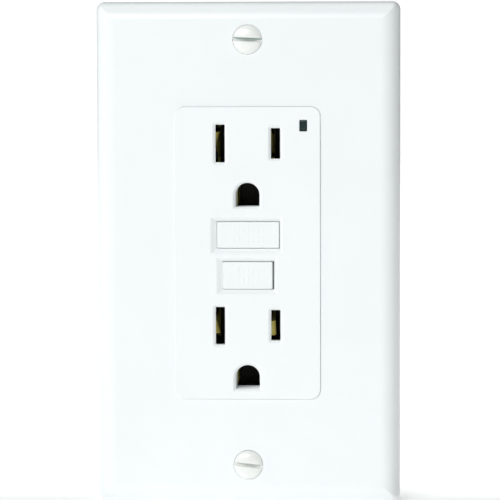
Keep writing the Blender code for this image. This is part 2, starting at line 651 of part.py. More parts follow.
def make_clamp(name, side, z):
    """A square plate with a groove for each of the two wires that can be pushed in from behind."""
    centre = Vector((side * (CLAMP_IN + CLAMP_OUT) / 2, TERMINAL_Y, z))
    half = Vector(((CLAMP_OUT - CLAMP_IN) / 2, 4.2 * MM, 4.2 * MM))
    clamp = block(centre - half, centre + half, name=f"{name}_clamp", material="zinc_steel", origin=centre)
    tools = [rod(centre - X * 3 * MM, centre + X * 3 * MM, TERMINAL_THREAD + GAP)]
    face_x = side * (CLAMP_OUT + 0.35 * MM)
    for offset in (-3.1 * MM, 3.1 * MM):
        groove_low, groove_high = (face_x, 4 * MM, z + offset), (face_x, 15 * MM, z + offset)
        tools.append(rod(groove_low, groove_high, 0.85 * MM, steps=8))
    cut(clamp, *tools)


def make_terminals():
    for end, z in (("line", TERMINAL_Z), ("load", -TERMINAL_Z)):
        make_terminal(f"{end}_neutral", -1, z, "zinc_steel")
        make_terminal(f"{end}_hot", 1, z, "brass")


# ---------------------------------------------------------------- board and its parts

def make_board():
    board = plan_block((0, 0), (13.4 * MM, 31.6 * MM), BOARD_FRONT, BOARD_BACK, name="circuit_board",
                       material="board")
    cut(board, block((-10.6 * MM, 14 * MM, -6 * MM), (10.6 * MM, 19 * MM, 9.5 * MM)))


def make_transformers():
    """Two wound rings stacked in a round boot: the live and neutral conductors pass through their middle."""
    at = (0, 0, TORUS_Z)
    for name, low in (("sensing_transformer", 18.4 * MM), ("neutral_transformer", 22.9 * MM)):
        high, inner, outer, soft = low + 4 * MM, 4.4 * MM, 8.4 * MM, 0.8 * MM
        profile = [
            (inner + soft, high), (outer - soft, high), (outer, high - soft), (outer, low + soft),
            (outer - soft, low), (inner + soft, low), (inner, low + soft), (inner, high - soft),
        ]
        turned(profile, at, Y, name=name, material="copper")
    inner, outer, wall = 3.2 * MM, 9.6 * MM, 0.8 * MM
    front, back = BOARD_SIDE, 28.3 * MM
    profile = [
        (inner, back), (outer, back), (outer, front), (outer - wall, front), (outer - wall, back - wall),
        (inner + wall, back - wall), (inner + wall, front), (inner, front),
    ]
    turned(profile, at, Y, name="transformer_boot", material="tray_plastic")


def make_solenoid():
    """Bobbin, coil, plunger and return spring, on an axis along Z under the latch."""
    at = (0, LATCH_Y, 0)
    top, bottom, flange = -5.0 * MM, -21.0 * MM, 0.8 * MM
    bore, tube, rim = 1.9 * MM, 2.5 * MM, 5.1 * MM
    profile = [
        (bore, top), (rim, top), (rim, top - flange), (tube, top - flange),
        (tube, bottom + flange), (rim, bottom + flange), (rim, bottom), (bore, bottom),
    ]
    turned(profile, at, Z, name="solenoid_bobbin", material="tray_plastic")
    low, high = bottom + flange + GAP, top - flange - GAP
    ring(at, Z, tube + GAP, 4.9 * MM, low, high, name="solenoid_coil", material="copper")
    head, stem, collar = 2.4 * MM, 1.55 * MM, 2.6 * MM
    profile = [
        (0, -3.4 * MM), (head, -3.4 * MM), (head, -4.6 * MM), (stem, -4.6 * MM), (stem, -26.2 * MM),
        (collar, -26.2 * MM), (collar, -27.2 * MM), (0, -27.2 * MM),
    ]
    turned(profile, at, Z, SMALL_ROUND, name="plunger", material="zinc_steel")
    coil("plunger_spring", "zinc_steel", (0, LATCH_Y, -26.0 * MM), Z, 2.15 * MM, 0.22 * MM, 4.8 * MM, 3.5, 10)


def make_latch():
    """The lifter that the reset pin carries, and the keyhole plate that locks the pin to it."""
    lifter = plan_block((0, 4.2 * MM), (4.6 * MM, 3.6 * MM), 18.3 * MM, 22.6 * MM, name="contact_lifter",
                        material="tray_plastic")
    wings = plan_block((0, 4.2 * MM), (10.2 * MM, 0.9 * MM), 19.5 * MM, 21.0 * MM)
    rails = [
        plan_block((side * 4.3 * MM, 4.2 * MM), (0.3 * MM, 3.6 * MM), 22.3 * MM, 24.1 * MM)
        for side in (-1, 1)
    ]
    join(lifter, wings, *rails)
    cut(lifter, rod((0, 17 * MM, RESET_Z), (0, 25 * MM, RESET_Z), 2.0 * MM, SMALL_ROUND))

    plate = block((-3.7 * MM, 22.9 * MM, -2.8 * MM), (3.7 * MM, 23.5 * MM, 8.0 * MM), name="latch_plate",
                  material="zinc_steel")
    narrow, release = PIN_RADIUS + GAP, RESET_Z - 2.6 * MM
    cut(plate,
        rod((0, 20 * MM, RESET_Z), (0, 25 * MM, RESET_Z), narrow, SMALL_ROUND),
        block((-narrow, 20 * MM, release), (narrow, 25 * MM, RESET_Z)),
        rod((0, 20 * MM, release), (0, 25 * MM, release), 2.1 * MM, SMALL_ROUND))

    points = [(0, 25.8), (0.8, 25.8), (1.7, 24.4), (1.7, 23.8), (0.9, 23.8), (0.9, -1.2), (0, -1.2)]
    profile = [(radius * MM, height * MM) for radius, height in points]
    turned(profile, (0, 0, RESET_Z), Y, SMALL_ROUND, name="reset_pin", material="zinc_steel")
    coil("reset_spring", "zinc_steel", (0, -2.2 * MM, RESET_Z), Y, 3.0 * MM, 0.28 * MM, 6.5 * MM, 4.5)


def make_switch_arms():
    """Springy brass arms that carry the moving contacts, and the leaf that the test button bends."""
    for name, side in (("neutral_contact_arm", -1), ("hot_contact_arm", 1)):
        pivot = Vector((side * ARM_PIVOT.x, ARM_PIVOT.y, ARM_PIVOT.z))
        half_thick = 0.3 * MM
        low = (pivot.x - 1.5 * MM, pivot.y - half_thick, -4.8 * MM)
        high = (pivot.x + 1.5 * MM, pivot.y + half_thick, pivot.z + half_thick)
        block(low, high, name=name, material="brass", origin=pivot)
    low = LEAF_PIVOT - Vector((2, 0.2, 0)) * MM
    block(low, (2 * MM, LEAF_PIVOT.y + 0.2 * MM, -2.6 * MM), name="test_contact_leaf", material="brass",
          origin=LEAF_PIVOT)


def make_components():
    """The larger parts on the board."""
    rod((-12.9 * MM, 23 * MM, -27 * MM), (-9.1 * MM, 23 * MM, -27 * MM), 4.7 * MM, name="varistor",
        material="epoxy")
    turned([(0, 9.1 * MM), (2.7 * MM, 9.1 * MM), (3.1 * MM, 8.7 * MM), (3.1 * MM, 0), (0, 0)],
           (9.2 * MM, BOARD_SIDE, -27.4 * MM), Y, name="capacitor", material="epoxy")
    rod((9.6 * MM, 19.2 * MM, -23.4 * MM), (9.6 * MM, 19.2 * MM, -19.4 * MM), 1.15 * MM, SMALL_ROUND,
        name="test_resistor", material="resistor_tan")
    chip_x, chip_z, pitch = 9.0 * MM, -9.6 * MM, 1.27 * MM
    chip = plan_block((chip_x, chip_z), (1.95 * MM, 2.5 * MM), 18.1 * MM, 19.6 * MM, name="controller_chip",
                      material="chip_black")
    join(chip, *[
        plan_block((chip_x, chip_z + row * pitch), (3.0 * MM, 0.2 * MM), BOARD_SIDE, 18.5 * MM)
        for row in (-1.5, -0.5, 0.5, 1.5)
    ])
    case = rod((-9.6 * MM, 19.4 * MM, -13 * MM), (-9.6 * MM, 24 * MM, -13 * MM), 2.4 * MM, name="thyristor",
               material="chip_black")
    legs = [
        plan_block((x * MM, -13 * MM), (0.25 * MM, 0.25 * MM), BOARD_SIDE, 20 * MM)
        for x in (-10.87, -9.6, -8.33)
    ]
    join(case, *legs)
    cut(case, block((-13 * MM, 19 * MM, -11.6 * MM), (-6 * MM, 25 * MM, -9 * MM)))
    led = plan_block((LENS_X, LENS_Z), (1.0 * MM, 1.2 * MM), 0.9 * MM, 4 * MM, name="status_led",
                     material="led_clear")
    join(led, *[
        plan_block((LENS_X, LENS_Z + side * 0.7 * MM), (0.25 * MM, 0.25 * MM), 3.5 * MM, BOARD_FRONT - GAP)
        for side in (-1, 1)
    ])


make_wall_plate()
make_plate_screws()
make_face_cover()
make_buttons()
make_lens()
make_strap()
make_mounting_screws()
make_ground_screw()
make_tray()
make_rear_housing()
make_housing_screws()
make_bus("neutral_bus", -1)
make_bus("hot_bus", 1)
make_ground_contacts()
make_terminals()
make_board()
make_transformers()
make_solenoid()
make_latch()
make_switch_arms()
make_components()
shade_parts()
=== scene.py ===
import json
import math
from itertools import product

import bmesh
import bpy
from mathutils import Matrix, Vector


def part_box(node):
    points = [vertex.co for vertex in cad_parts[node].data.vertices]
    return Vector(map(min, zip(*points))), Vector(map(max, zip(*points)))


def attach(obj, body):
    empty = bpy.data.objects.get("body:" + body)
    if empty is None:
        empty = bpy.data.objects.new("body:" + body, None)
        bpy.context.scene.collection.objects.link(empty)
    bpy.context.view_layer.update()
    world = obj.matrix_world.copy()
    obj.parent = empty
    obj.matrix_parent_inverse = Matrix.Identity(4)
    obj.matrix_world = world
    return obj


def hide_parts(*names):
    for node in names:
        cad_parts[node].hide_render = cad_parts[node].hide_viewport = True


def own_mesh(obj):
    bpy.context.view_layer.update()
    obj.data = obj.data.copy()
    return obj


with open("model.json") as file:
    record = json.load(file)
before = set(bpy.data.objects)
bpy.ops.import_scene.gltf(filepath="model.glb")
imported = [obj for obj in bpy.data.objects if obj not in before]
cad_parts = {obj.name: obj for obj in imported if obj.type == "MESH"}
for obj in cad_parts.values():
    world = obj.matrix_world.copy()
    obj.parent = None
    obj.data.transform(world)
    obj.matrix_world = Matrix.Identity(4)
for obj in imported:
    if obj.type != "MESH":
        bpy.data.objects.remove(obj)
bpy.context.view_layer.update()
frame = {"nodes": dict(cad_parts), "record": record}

NODES = frame["nodes"]
RECORD = frame["record"]
MM = 0.001
X, Y, Z = Vector((1, 0, 0)), Vector((0, 1, 0)), Vector((0, 0, 1))
SCENE = bpy.context.scene
WELD = 1e-7  # points closer than this many metres are one

# Camera: the view is from a little to the right of the plate's middle and a little above it
CAMERA_AT = Vector((28.3, -600.0, 36.3)) * MM
CAMERA_YAW, CAMERA_PITCH, CAMERA_ROLL = 2.68, -3.42, 0.15
CAMERA_LENS, SENSOR = 188.8, 36.0

# Light, in metres: softboxes (name, turn round Z from the front, elevation, size, power) at one distance
LIGHT_DISTANCE = 2.6
SOFTBOXES = (
    ("key", -28, 32, (1.7, 0.9), 37.5),
    ("fill", -8, 27, (0.8, 0.6), 8.2),
    ("side", -90, 20, (2.2, 2.2), 8.6),
    ("overhead", -5, 97, (2.2, 2.2), 20.0),
)
LIGHT_COLOR, SURROUND_COLOR = (0.975, 0.992, 0.995), (0.72, 1.0, 0.86)
SURROUND, BACKDROP = 0.045, 1.1
# The floor's own glow by distance behind the plate in metres, so that it reads as plain white
FLOOR_GLOW = (
    (-3.0, 0.9), (-1.0, 0.42), (-0.3, 0.4), (-0.1, 0.55), (-0.03, 0.52), (-0.012, 0.46), (0.0, 0.42),
    (0.006, 0.93), (0.02, 0.87), (0.6, 0.95), (3.0, 1.0),
)
FLOOR_TONE = (0.73, 0.77)
FLOOR_REACH = 3.0


def box(name):
    """Corners of a CAD node, in millimetres like every length below unless its comment says metres."""
    return [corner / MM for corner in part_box(name)]


def both(value):
    return Vector((value, value))


def middle(name):
    low, high = box(name)
    return (low + high) / 2


# Places that the frame gives
PLATE_LOW, PLATE_HIGH = box("wall_plate")
MOUNT_AT = {mount["name"]: Vector(mount["pos_m"]) / MM for mount in RECORD["mounts"]}
OUTLET_Z = (MOUNT_AT["upper_outlet_face"].z, MOUNT_AT["lower_outlet_face"].z)
FACE_FRONT = MOUNT_AT["upper_outlet_face"].y
BLADE_X = box("hot_bus")[0].x + 1.5
HOUSING_SCREWS = [middle(f"housing_screw_{number}") for number in range(1, 5)]
TERMINALS = (("line_hot", 1), ("line_neutral", -1), ("load_hot", 1), ("load_neutral", -1))

# Wall plate
PLATE_FRONT = -5.8
PLATE_ROLL = 4.5
PLATE_CORNER = 1.9
PLATE_TRIM = 0.3
PLATE_SHELL = 2.2
PLATE_RIM = 2.4
SUPPORT = 0.05  # a narrow flat band beside each rounded edge keeps the shading even
COUNTERSINK_TOP, COUNTERSINK_ANGLE = 3.37, 43
SCREW_HOLE, SCREW_BOSS = 1.95, 3.1

# Face of the receptacle
FACE_HALF, FACE_CORNER = Vector((16.45, 33.25)), 2.2
FACE_GAP = 0.027
LENS_TRIM = Vector((0.11, 0.06))
SLOT_HALF_WIDTH = 1.04
SLOT_HALF_HEIGHT = {-1: 4.27, 1: 3.46}
SLOT_SHIFT = {(-1, 0): (0.1, 0), (-1, 1): (0.05, -0.12), (1, 0): (-0.02, 0), (1, 1): (-0.02, 0)}
SLOT_CHAMFER, SLOT_CHAMFER_DEPTH = 0.62, 0.4
SLOT_WALL, SLOT_UNDERCUT = 0.35, 0.5
GROUND_CHAMFER, GROUND_CHAMFER_DEPTH = 0.5, 0.5
GROUND_DROP, GROUND_RADIUS, GROUND_FLAT = (11.69, 11.87), 2.75, 2.72
GROUND_SHIFT = -0.09
WELL_DEPTH, BUTTON_GAP = 0.85, 0.1
# Each button: widths of its well's slopes (left, right, bottom, top), how far the hole's middle lies off the
# button's, how much wider the hole is, and how far the moulding is shifted and grown from its drawn outline
BUTTONS = {
    "reset_button": dict(slopes=(1.27, 0.65, 1.2, 1.08), hole=(-0.02, 0.0), wider=0.0,
                         shift=(0.07, -0.06), growth=(0.07, 0.06)),
    "test_button": dict(slopes=(1.3, 0.6, 1.1, 0.88), hole=(0.17, 0.02), wider=0.13,
                        shift=(-0.05, -0.1), growth=(0.05, 0.1)),
}
BUTTON_LIP = 0.62
RIB_HALF, RIB_HEIGHT, RIB_SLOPE, RIB_PITCH = (0.14, 0.7), 0.05, 0.06, 1.1
CHIMNEY_BACK = 2.0
CEILING = -4.2  # back of the face's front wall
FLANGE_FRONT, FLANGE_BACK = -3.3, -1.5


# ---- meshes from outlines

def rounded_rect(centre, half, radius, steps=8):
    """Outline function of a rectangle with rounded corners: outline(grow) gives its (x, z) points."""
    def outline(grow=0.0):
        hx, hz = half[0] + grow, half[1] + grow
        r = min(max(radius + grow, 0.06), hx, hz)
        points = []
        for corner, (sx, sz) in enumerate(((1, 1), (-1, 1), (-1, -1), (1, -1))):
            for i in range(steps + 1):
                angle = math.radians(90 * (corner + i / steps))
                points.append((centre[0] + sx * (hx - r) + r * math.cos(angle),
                               centre[1] + sz * (hz - r) + r * math.sin(angle)))
        return points
    return outline


def circle(centre, radius, steps=64):
    def outline(grow=0.0):
        r = radius + grow
        angles = [2 * math.pi * i / steps for i in range(steps)]
        return [(centre[0] + r * math.cos(a), centre[1] + r * math.sin(a)) for a in angles]
    return outline


def dee(centre, radius, flat, corner=0.3, steps=28):
    """Outline function of a ground hole: round above, flat below."""
    def outline(grow=0.0):
        r, drop, c = radius + grow, flat + grow, corner
        arc = [math.pi * i / steps for i in range(steps + 1)]
        points = [(centre[0] + r * math.cos(a), centre[1] + r * math.sin(a)) for a in arc]
        for side, start in ((-1, 180), (1, 270)):
            for i in range(5):
                a = math.radians(start + 90 * i / 4)
                points.append((centre[0] + side * (r - c) + c * math.cos(a),
                               centre[1] - drop + c + c * math.sin(a)))
        return points
    return outline


def convex_edge(grow, front, radius, steps=4):
    """Profile of (grow, y) from a side wall round to a front face."""
    angles = [math.pi / 2 * i / steps for i in range(steps + 1)]
    return [(grow - radius + radius * math.cos(a), front + radius - radius * math.sin(a)) for a in angles]


def hole_edge(front, radius, steps=3):
    """Profile of (grow, y) from a front face round into a hole."""
    angles = [math.pi / 2 * i / steps for i in range(steps + 1)]
    return [(radius - radius * math.sin(a), front + radius - radius * math.cos(a)) for a in angles]


def bridge(bm, first, second):
    """Faces between two rings of the same length."""
    for i, vert in enumerate(first):
        j = (i + 1) % len(first)
        bm.faces.new((vert, first[j], second[j], second[i]))


def mesh_from(bm, name):
    bmesh.ops.recalc_face_normals(bm, faces=bm.faces)
    mesh = bpy.data.meshes.new(name)
    bm.to_mesh(mesh)
    bm.free()
    return mesh


class Skin:
    """A closed mesh built from loops: each loop is an outline at one depth."""

    def __init__(self):
        self.bm = bmesh.new()

    def loop(self, points, y):
        return [self.bm.verts.new((x * MM, y * MM, z * MM)) for x, z in points]

    def band(self, first, second):
        bridge(self.bm, first, second)

    def run(self, outline, profile):
        """Bands along a profile of (grow, y). Returns the loops at its two ends."""
        loops = [self.loop(outline(grow), y) for grow, y in profile]
        for first, second in zip(loops, loops[1:]):
            self.band(first, second)
        return loops[0], loops[-1]

    def fill(self, *loops):
        edges = []
        for loop in loops:
            for i, vert in enumerate(loop):
                ends = (vert, loop[(i + 1) % len(loop)])
                edges.append(self.bm.edges.get(ends) or self.bm.edges.new(ends))
        bmesh.ops.triangle_fill(self.bm, use_beauty=True, use_dissolve=False, edges=edges)

    def finish(self, name, crease=40):
        bmesh.ops.remove_doubles(self.bm, verts=self.bm.verts, dist=WELD)
        return new_piece(name, mesh_from(self.bm, name), crease)


def new_object(name, mesh):
    obj = bpy.data.objects.new(name, mesh)
    SCENE.collection.objects.link(obj)
    return obj


def new_piece(name, mesh, crease=40):
    mesh.shade_smooth()
    mesh.set_sharp_from_angle(angle=math.radians(crease))
    return new_object(name, mesh)


def settle(obj, body, material, *nodes):
    """Gives a finished piece its material, its body and the CAD nodes that it stands for."""
    if obj.data.materials:
        obj.data.materials.clear()
    obj.data.materials.append(MATERIALS[material])
    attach(obj, body)
    if nodes:
        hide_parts(*nodes)
    return obj


# ---- solids cut from each other

def block(low, high, radius=0.0, along=1, segments=6):
    """A box whose edges that run along one axis may be rounded."""
    bm = bmesh.new()
    bmesh.ops.create_cube(bm, size=1.0)
    low, high = Vector(low), Vector(high)
    for vert in bm.verts:
        vert.co = Vector([high[k] if vert.co[k] > 0 else low[k] for k in range(3)]) * MM
    if radius:
        edges = [edge for edge in bm.edges
                 if abs((edge.verts[0].co - edge.verts[1].co).normalized()[along]) > 0.99]
        bmesh.ops.bevel(bm, geom=edges, offset=radius * MM, segments=segments, profile=0.5, affect="EDGES")
    return new_object("tool", mesh_from(bm, "tool"))


def slab(x, z, half_x, half_z, y0, y1, radius=0.0, along=1, segments=6):
    """A block by its middle and half size across the plate, and its two ends along Y."""
    return block((x - half_x, y0, z - half_z), (x + half_x, y1, z + half_z), radius, along, segments)


def rod(start, end, radius, end_radius=None, steps=48):
    """A closed cylinder or cone."""
    bm = bmesh.new()
    start, axis = Vector(start), Vector(end) - Vector(start)
    turn = Z.rotation_difference(axis).to_matrix()
    rings = []
    for reach, height in ((radius, 0), (radius if end_radius is None else end_radius, axis.length)):
        angles = [2 * math.pi * i / steps for i in range(steps)]
        points = [Vector((reach * math.cos(a), reach * math.sin(a), height)) for a in angles]
        rings.append([bm.verts.new((start + turn @ point) * MM) for point in points])
    bridge(bm, *rings)
    for ring in rings:
        bm.faces.new(ring)
    return new_object("tool", mesh_from(bm, "tool"))


def combine(target, operation, tools):
    """Applies one Boolean of the target with all the tools, which it then removes."""
    group = bpy.data.collections.new("tools")
    SCENE.collection.children.link(group)
    for tool in tools:
        SCENE.collection.objects.unlink(tool)
        group.objects.link(tool)
    modifier = target.modifiers.new("cut", "BOOLEAN")
    modifier.operation = operation
    modifier.operand_type = "COLLECTION"
    modifier.collection = group
    modifier.solver = "EXACT"
    bake(target)
    for tool in tools:
        bpy.data.objects.remove(tool, do_unlink=True)
    bpy.data.collections.remove(group)
    return target


def bake(obj):
    graph = bpy.context.evaluated_depsgraph_get()
    made = bpy.data.meshes.new_from_object(obj.evaluated_get(graph))
    obj.modifiers.clear()
    obj.data = made
    return obj


def cut(target, *tools):
    return combine(target, "DIFFERENCE", tools)


def join(target, *tools):
    return combine(target, "UNION", tools)


def as_piece(tool, name, crease):
    """Turns a finished solid into a visible piece."""
    piece = new_piece(name, tool.data, crease)
    bpy.data.objects.remove(tool, do_unlink=True)
    return piece


def soften(obj, width, segments=2):
    """Rounds the hard edges a little, as moulding, plating and tumbling do."""
    bevel = obj.modifiers.new("soften", "BEVEL")
    bevel.width = width * MM
    bevel.segments = segments
    bevel.limit_method = "ANGLE"
    bevel.angle_limit = math.radians(35)
    bevel.use_clamp_overlap = True
    bevel.harden_normals = True
    return obj


# ---- materials

for cad_material in bpy.data.materials:
    cad_material.name = f"cad_{cad_material.name}"


def set_socket(tree, socket, value):
    """Links an output to a socket, or sets the socket to a number or colour."""
    if isinstance(value, bpy.types.NodeSocket):
        tree.links.new(value, socket)
    else:
        socket.default_value = value


class Shader:
    """A node material around one Principled BSDF, with short calls for the usual procedural parts."""

    def __init__(self, name, roughness, metallic=0.0, **sockets):
        self.material = bpy.data.materials.new(name)
        self.material.use_nodes = True
        self.tree = self.material.node_tree
        self.bsdf = self.tree.nodes["Principled BSDF"]
        self.coords = self.tree.nodes.new("ShaderNodeTexCoord").outputs["Object"]
        self.set(self.bsdf, Roughness=roughness, Metallic=metallic, **sockets)

    def set(self, node, **sockets):
        for name, value in sockets.items():
            set_socket(self.tree, node.inputs[name.replace("_", " ")], value)
        return self

    def node(self, kind, **sockets):
        node = self.tree.nodes.new(f"ShaderNode{kind}")
        self.set(node, **sockets)
        return node

    def noise(self, size, detail=2.0, stretch=(1, 1, 1)):
        """Noise whose features are about this large."""
        mapping = self.node("Mapping", Vector=self.coords, Scale=[value / (size * MM) for value in stretch])
        made = self.node("TexNoise", Vector=mapping.outputs["Vector"], Scale=1.0, Detail=detail)
        return made.outputs["Fac"]

    def ramp(self, factor, *stops):
        """Colours or grey values along a factor: each stop is (position, value)."""
        node = self.node("ValToRGB", Fac=factor)
        elements = node.color_ramp.elements
        while len(elements) < len(stops):
            elements.new(0.5)
        for element, (position, value) in zip(elements, stops):
            element.position = position
            color = value if isinstance(value, tuple) else (value, value, value)
            element.color = (*color, 1.0)
        return node.outputs["Color"]

    def mix(self, factor, first, second, blend="MIX"):
        node = self.tree.nodes.new("ShaderNodeMix")
        node.data_type = "RGBA"
        node.blend_type = blend
        for index, value in ((0, factor), (6, first), (7, second)):
            set_socket(self.tree, node.inputs[index], value)
        return node.outputs[2]

    def color(self, source):
        return self.set(self.bsdf, Base_Color=source)

    def roughness(self, factor, low, high):
        node = self.node("MapRange", Value=factor, To_Min=low, To_Max=high)
        return self.set(self.bsdf, Roughness=node.outputs["Result"])

    def bump(self, height, depth, strength=1.0):
        """Adds a bump of this many metres, on top of any that is there already."""
        node = self.node("Bump", Strength=strength, Distance=depth, Height=height)
        normal = self.bsdf.inputs["Normal"]
        if normal.is_linked:
            self.set(node, Normal=normal.links[0].from_socket)
        return self.set(self.bsdf, Normal=node.outputs["Normal"])


def shade(color, factor):
    return tuple(min(value * factor, 1.0) for value in color)


def plastic(name, color, roughness, depth=4e-6, grain=0.25, variation=0.012, **sockets):
    """Moulded plastic: faint flow marks in the colour, a fine texture, and uneven gloss."""
    made = Shader(name, roughness, **sockets)
    cloud = made.noise(14, detail=3)
    speck = made.noise(grain, detail=2)
    base = made.ramp(cloud, (0.3, shade(color, 1 - variation)), (0.7, shade(color, 1 + variation)))
    made.color(made.mix(0.25, base, made.ramp(speck, (0.35, shade(color, 0.985)), (0.65, color))))
    made.roughness(made.noise(3, detail=4), roughness - 0.05, roughness + 0.06)
    return made.bump(cloud, depth * 6, 0.25).bump(speck, depth, 0.35)


def metal(name, color, roughness, tint=None, stretch=(1, 1, 1), scratch=0.5, metallic=1.0, **sockets):
    """Plated or rolled metal: cloudy tone, drawn streaks, pits and a slightly uneven polish."""
    made = Shader(name, roughness, metallic=metallic, **sockets)
    cloud = made.noise(2.5, detail=4)
    streak = made.noise(0.22, detail=3, stretch=stretch)
    base = made.ramp(cloud, (0.3, shade(color, 0.88)), (0.7, tint or shade(color, 1.06)))
    made.color(made.mix(0.35, base, made.ramp(streak, (0.3, shade(color, 0.8)), (0.6, color)), "MULTIPLY"))
    made.roughness(streak, roughness - 0.08, roughness + 0.14)
    return made.bump(streak, 3e-6, scratch).bump(cloud, 8e-6, 0.3)


def windings(name, color, pitch, direction):
    """Enamelled wire wound in turns: rounded ridges, with painted shade as a dark line between them and a
    painted highlight along their crests.
    """
    made = Shader(name, 0.3, metallic=0.75, Coat_Weight=0.6, Coat_Roughness=0.15)
    wave = made.node("TexWave", Scale=1 / (3.2 * pitch * MM), Distortion=0.4, Vector=made.coords)
    wave.bands_direction = direction
    ridge = wave.outputs["Fac"]
    # painted shade in the creases between turns and a painted highlight on the crests, from the same waves as
    # the bump
    made.color(made.ramp(ridge, (0.0, shade(color, 0.25)), (0.45, color), (1.0, shade(color, 1.15))))
    made.roughness(made.noise(1), 0.22, 0.4)
    return made.bump(ridge, 6e-5, 0.8)


def circuit_board(name):
    """Green solder mask over copper tracks, with the glass weave just showing."""
    made = Shader(name, 0.35, Coat_Weight=0.5, Coat_Roughness=0.12)
    turn = made.node("Mapping", Rotation=(math.pi / 2, 0, 0), Vector=made.coords)
    brick = made.node(
        "TexBrick", Scale=1 / (6 * MM), Mortar_Size=0.03, Vector=turn.outputs["Vector"],
        Color1=(0.03, 0.20, 0.09, 1), Color2=(0.02, 0.15, 0.07, 1), Mortar=(0.05, 0.32, 0.14, 1))
    made.color(made.mix(0.15, brick.outputs["Color"], made.ramp(made.noise(0.5), (0.3, 0.02), (0.7, 0.12))))
    made.roughness(made.noise(1.5), 0.28, 0.45)
    return made.bump(brick.outputs["Fac"], 3e-5, 0.5)


def fibre_board(name, color):
    made = Shader(name, 0.85)
    strand = made.noise(0.6, detail=5, stretch=(1, 1, 0.25))
    made.color(made.ramp(strand, (0.3, shade(color, 0.7)), (0.55, color), (0.8, shade(color, 1.25))))
    made.roughness(strand, 0.75, 0.95)
    return made.bump(strand, 3e-5, 0.6)


WHITE = (0.90, 0.925, 0.93)
MATERIALS = {
    made.material.name: made.material
    for made in (
        plastic("plate_nylon", WHITE, 0.30, depth=3e-6),
        plastic("face_nylon", (0.905, 0.925, 0.93), 0.34, depth=3e-6),
        plastic("button_nylon", (0.89, 0.915, 0.915), 0.36, depth=5e-6),
        plastic("screw_paint", (0.88, 0.89, 0.865), 0.26, depth=6e-6, grain=0.5, variation=0.02,
                Coat_Weight=0.35, Coat_Roughness=0.2),
        # painted shadow: a darker teal-grey for the strip of a slot's floor under its upper wall, where that
        # wall's shade falls
        plastic("slot_painted_shadow", (0.40, 0.50, 0.475), 0.5, depth=8e-6, grain=0.3, variation=0.06),
        plastic("smoked_lens", (0.014, 0.031, 0.030), 0.14, depth=2e-6, Specular_IOR_Level=0.3),
        metal("zinc_steel", (0.66, 0.67, 0.69), 0.36, tint=(0.74, 0.73, 0.68), stretch=(1, 1, 0.15)),
        metal("brass", (0.86, 0.78, 0.30), 0.36, tint=(0.90, 0.84, 0.40), stretch=(1, 0.15, 1),
              metallic=0.65),
        metal("green_steel", (0.045, 0.33, 0.15), 0.32, tint=(0.09, 0.42, 0.20), metallic=0.65),
        plastic("housing_plastic", (0.79, 0.80, 0.785), 0.46, depth=1.2e-5, grain=0.35, variation=0.03),
        plastic("tray_plastic", (0.035, 0.036, 0.04), 0.5, depth=1.2e-5, grain=0.3, variation=0.1),
        fibre_board("fibre", (0.55, 0.43, 0.30)),
        circuit_board("board"),
        windings("copper", (0.72, 0.30, 0.13), 0.28, "Z"),
        plastic("epoxy", (0.06, 0.13, 0.42), 0.34, depth=2e-5, grain=0.8, variation=0.12),
        plastic("chip_black", (0.018, 0.018, 0.02), 0.42, depth=1e-5, grain=0.15, variation=0.15),
        plastic("resistor_tan", (0.70, 0.55, 0.37), 0.4, depth=1e-5, variation=0.08),
        plastic("led_clear", (0.20, 0.72, 0.26), 0.1, depth=1e-6, variation=0.05, Transmission_Weight=0.35),
    )
}


# ---- wall plate

def make_wall_plate():
    """Rolled front edge, mitred corners, countersunk screw holes with bosses behind, and a thin shell."""
    half = (PLATE_HIGH.x - PLATE_TRIM, PLATE_HIGH.z)
    body = rounded_rect((0, 0), half, PLATE_CORNER, steps=6)
    opening = rounded_rect((0, 0), FACE_HALF + both(FACE_GAP), FACE_CORNER + FACE_GAP)
    skin = Skin()
    roll = convex_edge(0, PLATE_FRONT, PLATE_ROLL, steps=18)
    rim_round = [(-0.35, 0), (-0.1, -0.08), (0, -0.35)]
    rim_outer, front_outer = skin.run(body, rim_round + roll + [(-PLATE_ROLL - SUPPORT, PLATE_FRONT)])
    ceiling = PLATE_FRONT + PLATE_SHELL
    ceiling_outer, rim_inner = skin.run(body, [
        (-PLATE_RIM - 0.6, ceiling), (-PLATE_RIM - 0.5, ceiling),
        (-PLATE_RIM, ceiling + 0.5), (-PLATE_RIM, 0),
    ])
    edge = hole_edge(PLATE_FRONT, 0.1)
    opening_loops = skin.run(opening, [(edge[0][0] + SUPPORT, PLATE_FRONT), *edge, (0, ceiling)])
    front, back = [front_outer, opening_loops[0]], [ceiling_outer, opening_loops[1]]
    throat = PLATE_FRONT + (COUNTERSINK_TOP - SCREW_HOLE) / math.tan(math.radians(COUNTERSINK_ANGLE))
    for suffix in ("top", "bottom"):
        at = middle(f"plate_screw_{suffix}")
        loops = skin.run(circle((at.x, at.z), 0), [
            (COUNTERSINK_TOP + 0.1 + SUPPORT, PLATE_FRONT), (COUNTERSINK_TOP + 0.1, PLATE_FRONT),
            (COUNTERSINK_TOP + 0.03, PLATE_FRONT + 0.02), (COUNTERSINK_TOP, PLATE_FRONT + 0.08),
            (SCREW_HOLE, throat), (SCREW_HOLE, FLANGE_BACK), (SCREW_BOSS, FLANGE_BACK), (SCREW_BOSS, ceiling),
        ])
        front.append(loops[0])
        back.append(loops[1])
    skin.fill(*front)
    skin.fill(*back)
    skin.band(rim_outer, rim_inner)
    settle(skin.finish("plate_shell", crease=50), "housing", "plate_nylon", "wall_plate")


# ---- face, buttons and lens

def front_of(name):
    """Middle and half size of a node's front, as (x, z)."""
    low, high = box(name)
    return Vector((low.x + high.x, low.z + high.z)) / 2, Vector((high.x - low.x, high.z - low.z)) / 2


def button_place(name):
    """Centre and half size of a button's front, from its CAD box less the lip that keeps it in."""
    centre, half = front_of(name)
    trim = BUTTONS[name]
    return centre + Vector(trim["shift"]), half - both(BUTTON_LIP) + Vector(trim["growth"])


def lens_place():
    centre, half = front_of("indicator_lens")
    return centre, half - LENS_TRIM


